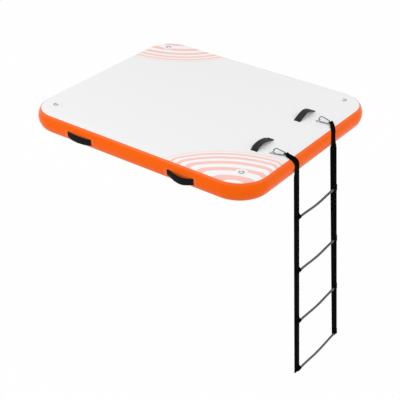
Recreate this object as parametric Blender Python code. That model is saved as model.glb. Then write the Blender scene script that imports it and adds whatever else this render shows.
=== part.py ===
"""Inflatable dock platform with a webbing boarding ladder clipped to its deck.

All lengths are metres. X runs along the platform towards the ladder, Y across it, Z up.
The origin is the centre of the flat underside, so the ladder hangs below zero height.
"""
import math

import bmesh
import bpy
from mathutils import Matrix, Vector
from mathutils.geometry import tessellate_polygon

# Driving dimensions of the platform
platform_length = 1.83
platform_width = 1.52
platform_height = 0.15
corner_radius = 0.22
edge_bulge = 0.062
skin_thickness = 0.0012

# Driving dimensions of the ladder
strap_width = 0.051
strap_thickness = 0.0025
rung_count = 4
rung_spacing = 0.40
first_rung_drop = 0.372
rung_diameter = 0.016
ladder_half_width = 0.220
ladder_centre_y = -0.012
ladder_lean = math.radians(4.25)
ladder_splay = math.radians(1.15)

# Clearances
fit_gap = 0.0003
sewn_depth = 0.0004
cut_overrun = 0.004

# Fineness of round shapes
corner_segments = 6
round_segments = 20
wire_sides = 6

# Places on the deck, in from the platform's ends and sides
corner_ring_end_distance = 0.161
corner_ring_side_distance = 0.156
ladder_ring_end_distances = (0.144, 0.141)
deck_handle_end_distance = 0.247
corner_ring_x = platform_length / 2 - corner_ring_end_distance
corner_ring_y = platform_width / 2 - corner_ring_side_distance
ladder_ring_xs = tuple(platform_length / 2 - distance for distance in ladder_ring_end_distances)
deck_handle_x = platform_length / 2 - deck_handle_end_distance

# Places across the deck and along the sides, from the platform's centre
ladder_ring_ys = (-0.3035, 0.236)
deck_handle_half_spacing = 0.250
side_handle_half_spacing = 0.414

# Rings, patches and loops
ring_wire_radius = 0.0025
ring_half_width = 0.0155
ring_depth = 0.024
ring_fillet = 0.004
patch_radius = 0.040
patch_thickness = 0.0012
patch_shift = 0.006
loop_thickness = 0.0015
loop_width = 0.020
loop_tail = 0.026
loop_taper = 0.012

# Snap hooks
hook_length = 0.078
hook_wire_radius = 0.0036
hook_wide_radius = 0.0175
hook_narrow_radius = 0.0095
hook_rest_gap = 0.0009
eye_lift = 0.0016
link_play = 0.0009
hook_yaws = (math.radians(14), math.radians(6))
hook_tilts = (math.radians(42), math.radians(-120))
link_angles_on_ring = (math.radians(30), 0)
link_angles_on_hook = (0, math.radians(-20))

side_names = ("left", "right")
side_signs = (-1, 1)


def clear_scene():
    """Remove whatever the file holds, so that only this model is left."""
    for thing in list(bpy.data.objects):
        bpy.data.objects.remove(thing, do_unlink=True)


def material(name, colour, roughness, metallic=0.0):
    """A plain Principled material."""
    made = bpy.data.materials.new(name)
    made.use_nodes = True
    shader = made.node_tree.nodes["Principled BSDF"]
    shader.inputs["Base Color"].default_value = (*colour, 1.0)
    shader.inputs["Roughness"].default_value = roughness
    shader.inputs["Metallic"].default_value = metallic
    return made


def lofted(rings, closed=False):
    """Join equal loops of points with quads, and cap both ends unless the loft closes on itself."""
    count = len(rings[0])
    points = [tuple(point) for ring in rings for point in ring]
    faces = []
    steps = len(rings) if closed else len(rings) - 1
    for step in range(steps):
        here = step * count
        there = (step + 1) % len(rings) * count
        for k in range(count):
            after = (k + 1) % count
            faces.append((here + k, here + after, there + after, there + k))
    if not closed:
        faces.append(tuple(reversed(range(count))))
        faces.append(tuple(range((len(rings) - 1) * count, len(rings) * count)))
    return points, faces


def moved(shape, matrix):
    """Carry a shape through a matrix."""
    points, faces = shape
    return [tuple(matrix @ Vector(point)) for point in points], faces


def mesh_object(name, shape, look, pivot=None, round_piece=True):
    """Make an object from a shape given in world places, with its origin on its pivot empty."""
    points, faces = shape
    origin = pivot.matrix_world.translation.copy() if pivot else Vector((0, 0, 0))
    mesh = bpy.data.meshes.new(name)
    mesh.from_pydata([tuple(Vector(point) - origin) for point in points], [], faces)
    shaped = bmesh.new()
    shaped.from_mesh(mesh)
    bmesh.ops.recalc_face_normals(shaped, faces=shaped.faces)
    shaped.to_mesh(mesh)
    shaped.free()
    mesh.materials.append(look)
    if round_piece:
        mesh.shade_smooth()
        mesh.set_sharp_from_angle(angle=math.radians(35))
    piece = bpy.data.objects.new(name, mesh)
    bpy.context.collection.objects.link(piece)
    if pivot:
        piece.parent = pivot
    return piece


def pivot_empty(name, place, parent=None):
    """An empty on a joint's axis, which the moving pieces are parented to."""
    empty = bpy.data.objects.new(name, None)
    empty.empty_display_size = patch_radius
    bpy.context.collection.objects.link(empty)
    empty.location = Vector(place)
    if parent:
        empty.parent = parent
        empty.location = Vector(place) - parent.matrix_world.translation
    bpy.context.view_layer.update()
    return empty


def boolean(piece, cutter, operation):
    """Cut, join or keep the overlap of a piece with a hidden helper."""
    cutter.hide_render = True
    cutter.display_type = "WIRE"
    change = piece.modifiers.new(cutter.name, "BOOLEAN")
    change.operation = operation
    change.solver = "EXACT"
    change.object = cutter


def arc(centre, radius, start, end, steps):
    """Points on an arc in a plane, from one angle to another, both ends included."""
    points = []
    for step in range(steps + 1):
        angle = start + (end - start) * step / steps
        points.append((centre[0] + radius * math.cos(angle), centre[1] + radius * math.sin(angle)))
    return points


def tube(path, radii, sides, reference, closed=False):
    """Sweep a round section along a path; reference is a direction that the path never follows."""
    count = len(path)
    rings = []
    for k in range(count):
        if closed:
            ahead, behind = path[(k + 1) % count], path[k - 1]
        else:
            ahead, behind = path[min(k + 1, count - 1)], path[max(k - 1, 0)]
        tangent = (Vector(ahead) - Vector(behind)).normalized()
        side = tangent.cross(Vector(reference)).normalized()
        up = side.cross(tangent)
        ring = []
        for turn in range(sides):
            angle = 2 * math.pi * (turn + 0.5) / sides
            ring.append(Vector(path[k]) + radii[k] * (math.cos(angle) * side + math.sin(angle) * up))
        rings.append(ring)
    return lofted(rings, closed)


def band(stations):
    """A flat strip; each station is centre, width direction, face direction, half width, half thickness."""
    rings = []
    for centre, across, outward, half_width, half_thickness in stations:
        centre, across, outward = Vector(centre), Vector(across), Vector(outward)
        rings.append([
            centre - across * half_width - outward * half_thickness,
            centre + across * half_width - outward * half_thickness,
            centre + across * half_width + outward * half_thickness,
            centre - across * half_width + outward * half_thickness,
        ])
    return lofted(rings)


def extruded(outline, holes, half_width):
    """Thicken a flat outline with holes, given as (x, z) points, by half_width to each side along Y."""
    loops = [outline] + holes
    flat = [Vector((x, z, 0)) for loop in loops for x, z in loop]
    triangles = tessellate_polygon([[Vector((x, z, 0)) for x, z in loop] for loop in loops])
    count = len(flat)
    points = [(p.x, -half_width, p.y) for p in flat] + [(p.x, half_width, p.y) for p in flat]
    faces = [tuple(triangle) for triangle in triangles]
    faces += [tuple(index + count for index in reversed(triangle)) for triangle in triangles]
    start = 0
    for loop in loops:
        for k in range(len(loop)):
            here = start + k
            after = start + (k + 1) % len(loop)
            faces.append((here, after, after + count, here + count))
        start += len(loop)
    return points, faces


def upright_prism(centre, radius, low, high, segments):
    """A round disc standing on Z."""
    rings = []
    for height in (low, high):
        rings.append([(x, y, height) for x, y in arc(centre, radius, 0, 2 * math.pi, segments)[:-1]])
    return lofted(rings)


def box(low, high):
    """A block between two opposite corners."""
    rings = []
    for x in (low[0], high[0]):
        rings.append([(x, low[1], low[2]), (x, high[1], low[2]), (x, high[1], high[2]), (x, low[1], high[2])])
    return lofted(rings)


# The air chamber: two skins, the side wall, the tapes over their seams, and the threads inside

seam_angle = math.radians(45)
tape_low_angle = math.radians(36)
tape_high_angle = math.radians(54.4)
tape_thickness = 0.001
wall_steps = 7
skin_steps = 3
tape_steps = 2
thread_row_thickness = 0.0004
thread_row_spacing = 0.075
thread_edge_margin = 0.012


def edge_point(angle, depth):
    """Inset and height of the bulging side, an ellipse, at an angle from level and a depth below its face."""
    inset = edge_bulge - (edge_bulge - depth) * math.cos(angle)
    height = platform_height / 2 + (platform_height / 2 - depth) * math.sin(angle)
    return inset, height


def edge_ring(angle, depth):
    """The plan outline, a rounded rectangle, of the side at that angle and depth."""
    inset, height = edge_point(angle, depth)
    radius = corner_radius - inset
    ring = []
    for quarter, (side_x, side_y) in enumerate(((1, 1), (-1, 1), (-1, -1), (1, -1))):
        centre_x = side_x * (platform_length / 2 - corner_radius)
        centre_y = side_y * (platform_width / 2 - corner_radius)
        start = quarter * math.pi / 2
        corner = arc((centre_x, centre_y), radius, start, start + math.pi / 2, corner_segments)
        ring += [(x, y, height) for x, y in corner]
    return ring


def spread(low, high, steps):
    """Evenly spaced values from low to high, both included."""
    return [low + (high - low) * step / steps for step in range(steps + 1)]


def skin(upside):
    """A shallow tray of sheet: the flat panel and the part of the bulging side above its seam."""
    rim = seam_angle + fit_gap / edge_bulge
    angles = spread(math.pi / 2, rim, skin_steps)
    rings = [edge_ring(upside * angle, skin_thickness) for angle in angles]
    rings += [edge_ring(upside * angle, 0) for angle in reversed(angles)]
    return lofted(rings)


def wall_angles():
    """The angles at which the side wall's facets meet."""
    return spread(-seam_angle, seam_angle, wall_steps)


def edge_band(angles, outer_depth, inner_depth):
    """A belt of sheet all the way round the side, through the given angles."""
    rings = [edge_ring(angle, outer_depth) for angle in angles]
    rings += [edge_ring(angle, inner_depth) for angle in reversed(angles)]
    return lofted(rings, closed=True)


def thread_rows():
    """Rows of the threads that hold the two skins level, as thin sheets across a sheet along the middle."""
    flat_half_length = platform_length / 2 - edge_bulge - thread_edge_margin
    flat_half_width = platform_width / 2 - edge_bulge - thread_edge_margin
    flat_radius = corner_radius - edge_bulge - thread_edge_margin
    half = thread_row_thickness / 2
    half_count = int(flat_half_length / thread_row_spacing)
    one_side = []
    for row in range(-half_count, half_count + 1):
        x = row * thread_row_spacing
        past = max(0, abs(x) - (flat_half_length - flat_radius))
        reach = flat_half_width - flat_radius + math.sqrt(flat_radius ** 2 - past ** 2)
        one_side += [(x - half, half), (x - half, reach), (x + half, reach), (x + half, half)]
    outline = one_side[1:-1] + [(x, -y) for x, y in reversed(one_side[1:-1])]
    half_height = platform_height / 2 - skin_thickness - fit_gap
    upright = Matrix.Translation((0, 0, platform_height / 2)) @ Matrix.Rotation(math.pi / 2, 4, "X")
    return moved(extruded(outline, [], half_height), upright)


def make_air_chamber(looks):
    """The sealed body of the platform; returns the side wall, which the valve goes through."""
    mesh_object("top_skin", skin(1), looks["deck"])
    mesh_object("bottom_skin", skin(-1), looks["orange"])
    wall = mesh_object("side_wall", edge_band(wall_angles(), 0, skin_thickness), looks["orange"])
    outer = -fit_gap - tape_thickness
    for name, sign in (("top_seam_tape", 1), ("bottom_seam_tape", -1)):
        angles = spread(sign * tape_low_angle, sign * tape_high_angle, tape_steps)
        shape = edge_band(angles, outer, -fit_gap)
        mesh_object(name, shape, looks["orange"])
    mesh_object("drop_stitch_threads", thread_rows(), looks["thread"], round_piece=False)
    return wall


# Rings on the deck, each held by a webbing loop on a round patch

patch_top = platform_height + fit_gap + patch_thickness
loop_radius = ring_wire_radius + fit_gap + loop_thickness
ring_height = patch_top - sewn_depth + loop_radius
corner_ring_tilt = -math.asin((ring_height - patch_top - ring_wire_radius - fit_gap) / ring_depth)


def ring_path():
    """Middle line of a D-shaped ring: its bar lies on the hinge line, its bow reaches away along X."""
    straight = ring_depth - ring_half_width
    corner = ring_half_width - ring_fillet
    points = arc((ring_fillet, corner), ring_fillet, math.pi, math.pi / 2, 3)
    points += arc((straight, 0), ring_half_width, math.pi / 2, -math.pi / 2, 8)
    points += arc((ring_fillet, -corner), ring_fillet, -math.pi / 2, -math.pi, 3)
    return [(x, y, 0) for x, y in points]


def ring_matrix(place, heading, tilt):
    """Stand a ring with its bar at a place, its bow along a heading and lifted by a tilt."""
    turned = Matrix.Rotation(heading, 4, "Z") @ Matrix.Rotation(-tilt, 4, "Y")
    return Matrix.Translation((place[0], place[1], ring_height)) @ turned


def loop_shape(place, heading):
    """The webbing strip folded round the ring's bar, with its tail sewn flat on the patch."""
    tail_top = -loop_radius + 2 * loop_thickness
    outline = [(-loop_tail, -loop_radius)]
    outline += arc((0, 0), loop_radius, -math.pi / 2, math.pi * 0.8, 8)
    outline += [(-loop_taper, tail_top), (-loop_tail, tail_top)]
    bore = arc((0, 0), ring_wire_radius + fit_gap, 0, 2 * math.pi, 10)[:-1]
    shape = extruded(outline, [bore], loop_width / 2)
    return moved(shape, ring_matrix(place, heading, 0))


def patch_shape(place, heading):
    """The round patch under a ring, set a little towards the ring's bow."""
    centre = (place[0] + patch_shift * math.cos(heading), place[1] + patch_shift * math.sin(heading))
    return upright_prism(centre, patch_radius, platform_height + fit_gap, patch_top, round_segments)


def corner_places():
    """Names, places and headings of the four corner rings, whose bows point out at the corners."""
    places = []
    for end, side_x in (("back", -1), ("front", 1)):
        for side, side_y in zip(side_names, side_signs):
            place = (side_x * corner_ring_x, side_y * corner_ring_y)
            places.append((f"{end}_{side}", place, math.atan2(side_y, side_x)))
    return places


def ladder_ring_places():
    """Names, places and headings of the two rings that carry the ladder."""
    return [(f"{side}_ladder", (x, y), 0) for side, x, y in zip(side_names, ladder_ring_xs, ladder_ring_ys)]


def ring_shape(place, heading, tilt):
    """One ring in place."""
    path = ring_path()
    shape = tube(path, [ring_wire_radius] * len(path), wire_sides, (0, 0, 1), closed=True)
    return moved(shape, ring_matrix(place, heading, tilt))


def make_corner_rings(looks):
    """The four rings for mooring lines, each free to flip over on its loop."""
    for name, place, heading in corner_places():
        pivot = pivot_empty(f"{name}_ring_pivot", (*place, ring_height))
        mesh_object(f"{name}_ring", ring_shape(place, heading, corner_ring_tilt), looks["steel"], pivot)


def make_ring_bases(looks):
    """The base of each of the six rings: a round patch with the webbing loop sewn on it."""
    for name, place, heading in corner_places() + ladder_ring_places():
        base = mesh_object(f"{name}_ring_base", patch_shape(place, heading), looks["deck"])
        boolean(base, mesh_object(f"{name}_loop_helper", loop_shape(place, heading), looks["deck"]), "UNION")


# Snap hooks between the ladder's rings and its straps

hook_nose_share = 0.14
hook_pivot_share = 0.80
gate_radius = 0.0034
tongue_radius = 0.0028
tongue_thickness = 0.0024
slot_thickness = 0.0030
slot_reach = 0.0044
gate_pin_radius = 0.0011
gate_pin_length = 0.0066
gate_spring_radius = 0.0012
gate_spring_length = 0.010
gate_spring_start = 0.0036
eye_play = 0.0026


def hook_tangent():
    """Ends of the straight run between the wide and the narrow arc on the gate's side."""
    between = hook_length - hook_wide_radius - hook_narrow_radius
    slant = (hook_wide_radius - hook_narrow_radius) / between
    normal = Vector((slant, math.sqrt(1 - slant ** 2), 0))
    wide = Vector((hook_wide_radius, 0, 0)) + hook_wide_radius * normal
    narrow = Vector((hook_length - hook_narrow_radius, 0, 0)) + hook_narrow_radius * normal
    return wide, narrow, normal


def hook_path():
    """Middle line of the bent wire: from its nose, round the wide arc, the back and the narrow arc."""
    wide, narrow, normal = hook_tangent()
    angle = math.atan2(normal.y, normal.x)
    pivot_gap = (gate_radius + fit_gap) / (narrow - wide).length
    points = [wide.lerp(narrow, hook_nose_share), wide.lerp(narrow, hook_nose_share / 2)]
    wide_arc = arc((hook_wide_radius, 0), hook_wide_radius, angle, 2 * math.pi - angle, 12)
    narrow_arc = arc((hook_length - hook_narrow_radius, 0), hook_narrow_radius, -angle, angle, 8)
    points += [Vector((x, y, 0)) for x, y in wide_arc + narrow_arc]
    points.append(narrow.lerp(wide, (1 - hook_pivot_share - pivot_gap) / 2))
    points.append(narrow.lerp(wide, 1 - hook_pivot_share - pivot_gap))
    return points


def gate_pivot():
    """The gate's pivot in the hook's own plane."""
    wide, narrow, normal = hook_tangent()
    return wide.lerp(narrow, hook_pivot_share)


def gate_frame():
    """Matrix that sets a shape drawn along X from the pivot onto the closed gate's line."""
    wide, narrow, normal = hook_tangent()
    along = (wide - narrow).normalized()
    across = Vector((0, 0, 1)).cross(along)
    frame = Matrix((along, across, Vector((0, 0, 1)))).transposed().to_4x4()
    return Matrix.Translation(gate_pivot()) @ frame


def tongue_shape():
    """The flat end of the wire that the gate turns on, with the pin's hole."""
    back = gate_radius + fit_gap + tongue_radius
    outline = arc((0, 0), tongue_radius, -math.pi / 2, math.pi / 2, 6)
    outline += [(-back, tongue_radius), (-back, -tongue_radius)]
    bore = arc((0, 0), gate_pin_radius + fit_gap, 0, 2 * math.pi, 8)[:-1]
    flat = extruded(outline, [bore], tongue_thickness / 2)
    return moved(flat, gate_frame() @ Matrix.Rotation(math.pi / 2, 4, "X"))


def gate_shape():
    """The gate's round bar, rounded at the pivot and square at the nose."""
    wide, narrow, normal = hook_tangent()
    length = (hook_pivot_share - hook_nose_share) * (narrow - wide).length - fit_gap
    turns = [math.radians(step) for step in (75, 50, 25, 0)]
    stations = [(-gate_radius * math.sin(turn), gate_radius * math.cos(turn)) for turn in turns]
    stations.append((length, gate_radius))
    path = [(x, 0, 0) for x, radius in stations]
    shape = tube(path, [radius for x, radius in stations], wire_sides + 2, (0, 0, 1))
    return moved(shape, gate_frame())


def gate_slot_shape():
    """Helper that cuts the fork, where the tongue goes, into the gate."""
    low = (-gate_radius - cut_overrun, -gate_radius - cut_overrun, -slot_thickness / 2)
    high = (slot_reach, gate_radius + cut_overrun, slot_thickness / 2)
    return moved(box(low, high), gate_frame())


def gate_rod_shape(radius, start, end):
    """A round rod along the gate's middle, for the spring and its bore."""
    shape = tube([(start, 0, 0), (end, 0, 0)], [radius] * 2, wire_sides, (0, 0, 1))
    return moved(shape, gate_frame())


def gate_pin_shape(radius, half_length):
    """A round rod across the gate, for the pivot pin and its bore."""
    shape = tube([(0, 0, -half_length), (0, 0, half_length)], [radius] * 2, wire_sides + 2, (1, 0, 0))
    return moved(shape, gate_frame())


def hook_matrix(ring_place, number):
    """Lay a hook down from its ring: resting on its lower side, its narrow end nearer the deck."""
    tilt = hook_tilts[number]
    lift = hook_rest_gap + hook_wire_radius
    wide_height = patch_top + lift + hook_wide_radius * abs(math.sin(tilt))
    narrow_height = platform_height + lift + eye_lift + hook_narrow_radius * abs(math.sin(tilt))
    between = hook_length - hook_wide_radius - hook_narrow_radius
    pitch = math.asin((wide_height - narrow_height) / between)
    pitched = Matrix.Rotation(hook_yaws[number], 4, "Z") @ Matrix.Rotation(pitch, 4, "Y")
    turned = pitched @ Matrix.Rotation(tilt, 4, "X")
    reach = hook_wide_radius - hook_wire_radius - ring_wire_radius - link_play
    angle = link_angles_on_hook[number]
    on_hook = turned @ Vector((hook_wide_radius - reach * math.cos(angle), -reach * math.sin(angle), 0))
    link_height = wide_height + hook_wide_radius * math.sin(pitch) + on_hook.z
    angle = link_angles_on_ring[number]
    on_ring = ring_depth - ring_half_width + ring_half_width * math.cos(angle)
    ring_tilt = math.asin((link_height - ring_height) / on_ring)
    link_x = ring_place[0] + on_ring * math.cos(ring_tilt)
    link = Vector((link_x, ring_place[1] + ring_half_width * math.sin(angle), link_height))
    return Matrix.Translation(link - on_hook) @ turned, link, ring_tilt


def make_hook(looks, number, side, ring_place):
    """One ladder ring with its snap hook; returns the hook's matrix."""
    matrix, link, ring_tilt = hook_matrix(ring_place, number)
    ring_pivot = pivot_empty(f"{side}_ladder_ring_pivot", (*ring_place, ring_height))
    mesh_object(f"{side}_ladder_ring", ring_shape(ring_place, 0, ring_tilt), looks["steel"], ring_pivot)
    hook_pivot = pivot_empty(f"{side}_hook_pivot", link, ring_pivot)
    path = hook_path()
    wire = tube(path, [hook_wire_radius] * len(path), wire_sides + 2, (0, 0, 1))
    hook = mesh_object(f"{side}_hook", moved(wire, matrix), looks["steel"], hook_pivot)
    tongue = mesh_object(f"{side}_hook_tongue_helper", moved(tongue_shape(), matrix), looks["steel"])
    boolean(hook, tongue, "UNION")
    gate_pivot_empty = pivot_empty(f"{side}_gate_pivot", matrix @ gate_pivot(), hook_pivot)
    gate = mesh_object(f"{side}_hook_gate", moved(gate_shape(), matrix), looks["steel"], gate_pivot_empty)
    spring_end = gate_spring_start + gate_spring_length
    bore_radius = gate_spring_radius + fit_gap
    cutters = (
        ("slot", gate_slot_shape()),
        ("pin_bore", gate_pin_shape(gate_pin_radius + fit_gap, gate_radius + cut_overrun)),
        ("spring_bore", gate_rod_shape(bore_radius, gate_spring_start, spring_end + fit_gap)),
    )
    for name, shape in cutters:
        cutter = mesh_object(f"{side}_gate_{name}_helper", moved(shape, matrix), looks["steel"])
        boolean(gate, cutter, "DIFFERENCE")
    pin = gate_pin_shape(gate_pin_radius, gate_pin_length / 2)
    mesh_object(f"{side}_gate_pin", moved(pin, matrix), looks["steel"], hook_pivot)
    spring = gate_rod_shape(gate_spring_radius, gate_spring_start, spring_end)
    mesh_object(f"{side}_gate_spring", moved(spring, matrix), looks["steel"], gate_pivot_empty)
    return matrix


# Ladder straps: the top lengths lie over the platform's edge, the rest hangs in sections

fold_length = 0.022
fold_half_spread = strap_thickness / 2 + fit_gap / 2
eye_radius = hook_wire_radius + fit_gap + strap_thickness / 2
eye_straight = 0.009
eye_closed = 0.018
eye_half_width = 0.004
untwist_length = 0.020
tip_half_thickness = 0.00012
strap_width_places = (0.0, 0.013, 0.028, 0.048)
strap_width_shares = (0.16, 0.30, 0.80, 1.0)
leave_angle = math.atan(math.tan(ladder_lean) * (platform_height / 2) / edge_bulge)
landing_angle = math.radians(52)
ramp_start_angle = math.radians(18)
ramp_end_angle = math.radians(31)
face_distance = fit_gap + strap_thickness / 2
path_steps = 12


def ease(share):
    """Smooth step from 0 to 1."""
    share = min(max(share, 0), 1)
    return share * share * (3 - 2 * share)


def hermite(share, start, start_slope, end, end_slope, length):
    """Cubic curve from start to end with the given slopes at both ends."""
    share = min(max(share, 0), 1)
    rest = 1 - share
    value = start * (1 + 2 * share) * rest * rest + end * share * share * (3 - 2 * share)
    return value + length * (start_slope * share * rest * rest - end_slope * share * share * rest)


def edge_path_point(angle):
    """Middle of the strap's outer layer on the bulging edge: over the tape, then down on the wall."""
    over_tape = ease((angle - ramp_start_angle) / (ramp_end_angle - ramp_start_angle))
    distance = face_distance + (fit_gap + tape_thickness) * over_tape
    across, up = math.cos(angle), math.sin(angle)
    normal = Vector((across / edge_bulge, 0, up / (platform_height / 2))).normalized()
    x = platform_length / 2 - edge_bulge + edge_bulge * across
    z = platform_height / 2 * (1 + up)
    return Vector((x, 0, z)) + normal * distance


def interpolate(value, places, values):
    """Straight-line interpolation in a short table, kept at its ends."""
    if value <= places[0]:
        return values[0]
    for low, high, before, after in zip(places, places[1:], values, values[1:]):
        if value <= high:
            return before + (after - before) * ((value - low) / (high - low))
    return values[-1]


class TopStrap:
    """Path of a strap's top length: from the hook's eye, down to the edge and over it, to where it hangs."""

    def __init__(self, hook, sign):
        narrow_centre = hook_length - hook_narrow_radius
        inner = hook_narrow_radius - hook_wire_radius
        reach = math.sqrt(inner ** 2 - eye_half_width ** 2)
        tip_inside = eye_radius - strap_thickness / 2
        turned = hook.to_3x3()
        self.heading = (turned @ Vector((1, 0, 0))).normalized()
        way = math.copysign(1, turned[1][1])
        self.hook_across = (turned @ Vector((0, way, 0))).normalized()
        start = hook @ Vector((narrow_centre + tip_inside + reach - fit_gap - eye_play, 0, 0))
        self.start = start.copy()
        bend = start + self.heading * eye_straight
        landing = edge_path_point(landing_angle)
        slope = (edge_path_point(landing_angle - fit_gap) - landing).normalized()
        length = math.hypot(landing.x - bend.x, landing.z - bend.z)
        self.points = [start]
        for share in spread(0, 1, path_steps):
            self.points.append(Vector((
                hermite(share, bend.x, self.heading.x, landing.x, slope.x, length), 0,
                hermite(share, bend.z, self.heading.z, landing.z, slope.z, length),
            )))
        for angle in spread(landing_angle, leave_angle, path_steps)[1:]:
            self.points.append(edge_path_point(angle))
        self.lengths = [0.0]
        for before, after in zip(self.points, self.points[1:]):
            self.lengths.append(self.lengths[-1] + math.hypot(after.x - before.x, after.z - before.z))
        self.length = self.lengths[-1]
        rest = self.length - eye_straight
        for point, along in zip(self.points, self.lengths):
            share = max(along - eye_straight, 0) / rest
            drift = self.heading.y / math.hypot(self.heading.x, self.heading.z)
            point.y = hermite(share, bend.y, drift, strap_y(sign, 0), sign * math.tan(ladder_splay), rest)

    def frame(self, along):
        """Middle of the outer layer, direction, width direction and face direction at a length along."""
        if along <= eye_straight:
            outward = self.heading.cross(self.hook_across).normalized()
            return self.start + self.heading * along, self.heading, self.hook_across, outward
        step = strap_thickness
        centre = interpolate(along, self.lengths, self.points)
        ahead = interpolate(along + step, self.lengths, self.points)
        behind = interpolate(along - step, self.lengths, self.points)
        tangent = (ahead - behind).normalized()
        share = ease((along - eye_straight) / untwist_length)
        across = self.hook_across.lerp(Vector((0, 1, 0)), share).normalized()
        return centre, tangent, across, tangent.cross(across).normalized()

    def station(self, along, offset, slope, half_thickness):
        """A band station at a length along and a distance off the path."""
        centre, tangent, across, outward = self.frame(max(along, 0))
        centre = centre + tangent * min(along, 0) + outward * offset
        facing = (outward * math.cos(slope) - tangent * math.sin(slope)).normalized()
        share = interpolate(along, strap_width_places, strap_width_shares)
        return centre, across, facing, share * strap_width / 2, half_thickness


def layer_offsets(along):
    """Offsets of the outer and the inner layer: as wide as the hook's wire needs, then closing."""
    closing = ease((along - eye_straight) / (eye_closed - eye_straight))
    outer = eye_radius * (1 - closing)
    return outer, outer - 2 * (eye_radius + (fold_half_spread - eye_radius) * closing)


def top_strap_shape(strap):
    """The folded end round the hook's wire and the single layer over the edge, as one strip."""
    half = strap_thickness / 2
    step = fit_gap
    stations = []
    for layer, places in ((1, spread(fold_length, 0, 6)), (0, spread(0, fold_length, 6))):
        for along in places:
            slope = math.atan2(layer_offsets(along + step)[layer] - layer_offsets(along)[layer], step)
            facing = math.pi + slope if layer else slope
            stations.append(strap.station(along, layer_offsets(along)[layer], facing, half))
        if layer:
            for turn in spread(0, math.pi, 8)[1:-1]:
                along = -eye_radius * math.sin(turn)
                stations.append(strap.station(along, -eye_radius * math.cos(turn), math.pi - turn, half))
    shoulder = strap.length - fit_gap / 2 - half
    for along in spread(fold_length, shoulder, 14)[1:]:
        stations.append(strap.station(along, 0, 0, half))
    stations.append(strap.station(strap.length - fit_gap / 2, 0, 0, tip_half_thickness))
    return band(stations)


# The hanging sections, each with two lengths of strap, a rung and its two loops

loop_foot_end = 0.024
loop_foot_start = 0.019
rung_loop_thickness = 0.002
rung_wall = 0.002
rung_sag = 0.010
loop_fall_start = 0.0115
rung_end_inset = 0.0155
hinge_below_rung = 0.028
strap_tail = 0.024

wall_x = platform_length / 2 - edge_bulge + edge_bulge * math.cos(leave_angle)
hang_x = wall_x + face_distance * math.cos(ladder_lean)
hang_z = platform_height / 2 * (1 + math.sin(leave_angle)) + face_distance * math.sin(ladder_lean)
hang_down = Vector((math.sin(ladder_lean), 0, -math.cos(ladder_lean)))
hang_out = Vector((math.cos(ladder_lean), 0, math.sin(ladder_lean)))


def strap_y(sign, drop):
    """Middle of a strap across the ladder, which widens a little towards its foot."""
    return ladder_centre_y + sign * (ladder_half_width + math.tan(ladder_splay) * drop)


def hang_point(drop, y=0.0, outward=0.0):
    """A place on the ladder, by its distance down the straps and out from their middle."""
    place = Vector((hang_x, 0, hang_z)) + hang_down * drop + hang_out * outward
    place.y = y
    return place


def rung_drop(number):
    """Distance down the straps to a rung, counted from 0."""
    return first_rung_drop + number * rung_spacing


def hinge_drop(number):
    """Distance down the straps to the top of a section, counted from 0."""
    return rung_drop(number - 1) + hinge_below_rung if number else 0.0


def section_strap_shape(number, sign):
    """One straight length of strap, thinned to an edge at each bending line."""
    half = strap_thickness / 2
    top = hinge_drop(number) + fit_gap / 2
    last = number == rung_count - 1
    bottom = rung_drop(number) + strap_tail if last else hinge_drop(number + 1) - fit_gap / 2
    drops = [(top, tip_half_thickness), (top + half, half)]
    if last:
        drops.append((bottom, half))
    else:
        drops += [(bottom - half, half), (bottom, tip_half_thickness)]
    stations = []
    for drop, thickness in drops:
        place = hang_point(drop, strap_y(sign, drop))
        stations.append((place, (0, 1, 0), hang_out, strap_width / 2, thickness))
    return band(stations)


def rung_outward():
    """Distance of a rung's middle out from the middle of the straps."""
    return strap_thickness / 2 + fit_gap + rung_diameter / 2


def rung_shape(number):
    """A tube that sags a little between its straps and lies level inside its loops."""
    drop = rung_drop(number)
    inner_half = ladder_half_width + math.tan(ladder_splay) * drop - strap_width / 2
    end_half = inner_half + strap_width - rung_end_inset
    places = [-end_half, *spread(-inner_half, inner_half, 6), end_half]
    path = []
    for y in places:
        share = min(abs(y) / inner_half, 1)
        sag = rung_sag * (1 + math.cos(math.pi * share)) / 2
        path.append(hang_point(drop + sag, ladder_centre_y + y, rung_outward()))
    rings = []
    sides = 10
    for radius, order in ((rung_diameter / 2, path), (rung_diameter / 2 - rung_wall, path[::-1])):
        for place in order:
            ring = []
            for turn in range(sides):
                angle = 2 * math.pi * turn / sides
                ring.append(place + radius * (math.cos(angle) * hang_out + math.sin(angle) * hang_down))
            rings.append(ring)
    return lofted(rings, closed=True)


def rung_loop_shape(number, sign):
    """Webbing tent over a rung, pressed flat towards the strap's outer edge, past the rung's end."""
    centre = rung_outward()
    round_radius = rung_diameter / 2 + fit_gap + rung_loop_thickness / 2
    foot = strap_thickness / 2 - sewn_depth + rung_loop_thickness / 2
    rise = centre - foot
    distance = math.hypot(loop_foot_start, rise)
    tangent = math.acos(round_radius / distance) - math.atan2(rise, loop_foot_start)
    stations = [(-loop_foot_end, foot, math.pi / 2), (-loop_foot_start, foot, math.pi / 2)]
    for angle in spread(math.pi - tangent, tangent, 6):
        stations.append((round_radius * math.cos(angle), centre + round_radius * math.sin(angle), angle))
    stations += [(loop_foot_start, foot, math.pi / 2), (loop_foot_end, foot, math.pi / 2)]
    outline = []
    for layer, order in ((1, stations), (-1, stations[::-1])):
        half = layer * rung_loop_thickness / 2
        for down, out, facing in order:
            rise = out + half * math.sin(facing) - foot - half
            outline.append((down + half * math.cos(facing), foot + half, rise))
    edge = strap_width / 2 - fit_gap
    rings = []
    for offset, share in ((-edge, 1), (loop_fall_start, 1), (edge, 0)):
        ring = []
        for down, base, rise in outline:
            drop = rung_drop(number) + down
            ring.append(hang_point(drop, strap_y(sign, drop) + sign * offset, base + share * rise))
        rings.append(ring)
    return lofted(rings)


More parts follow.
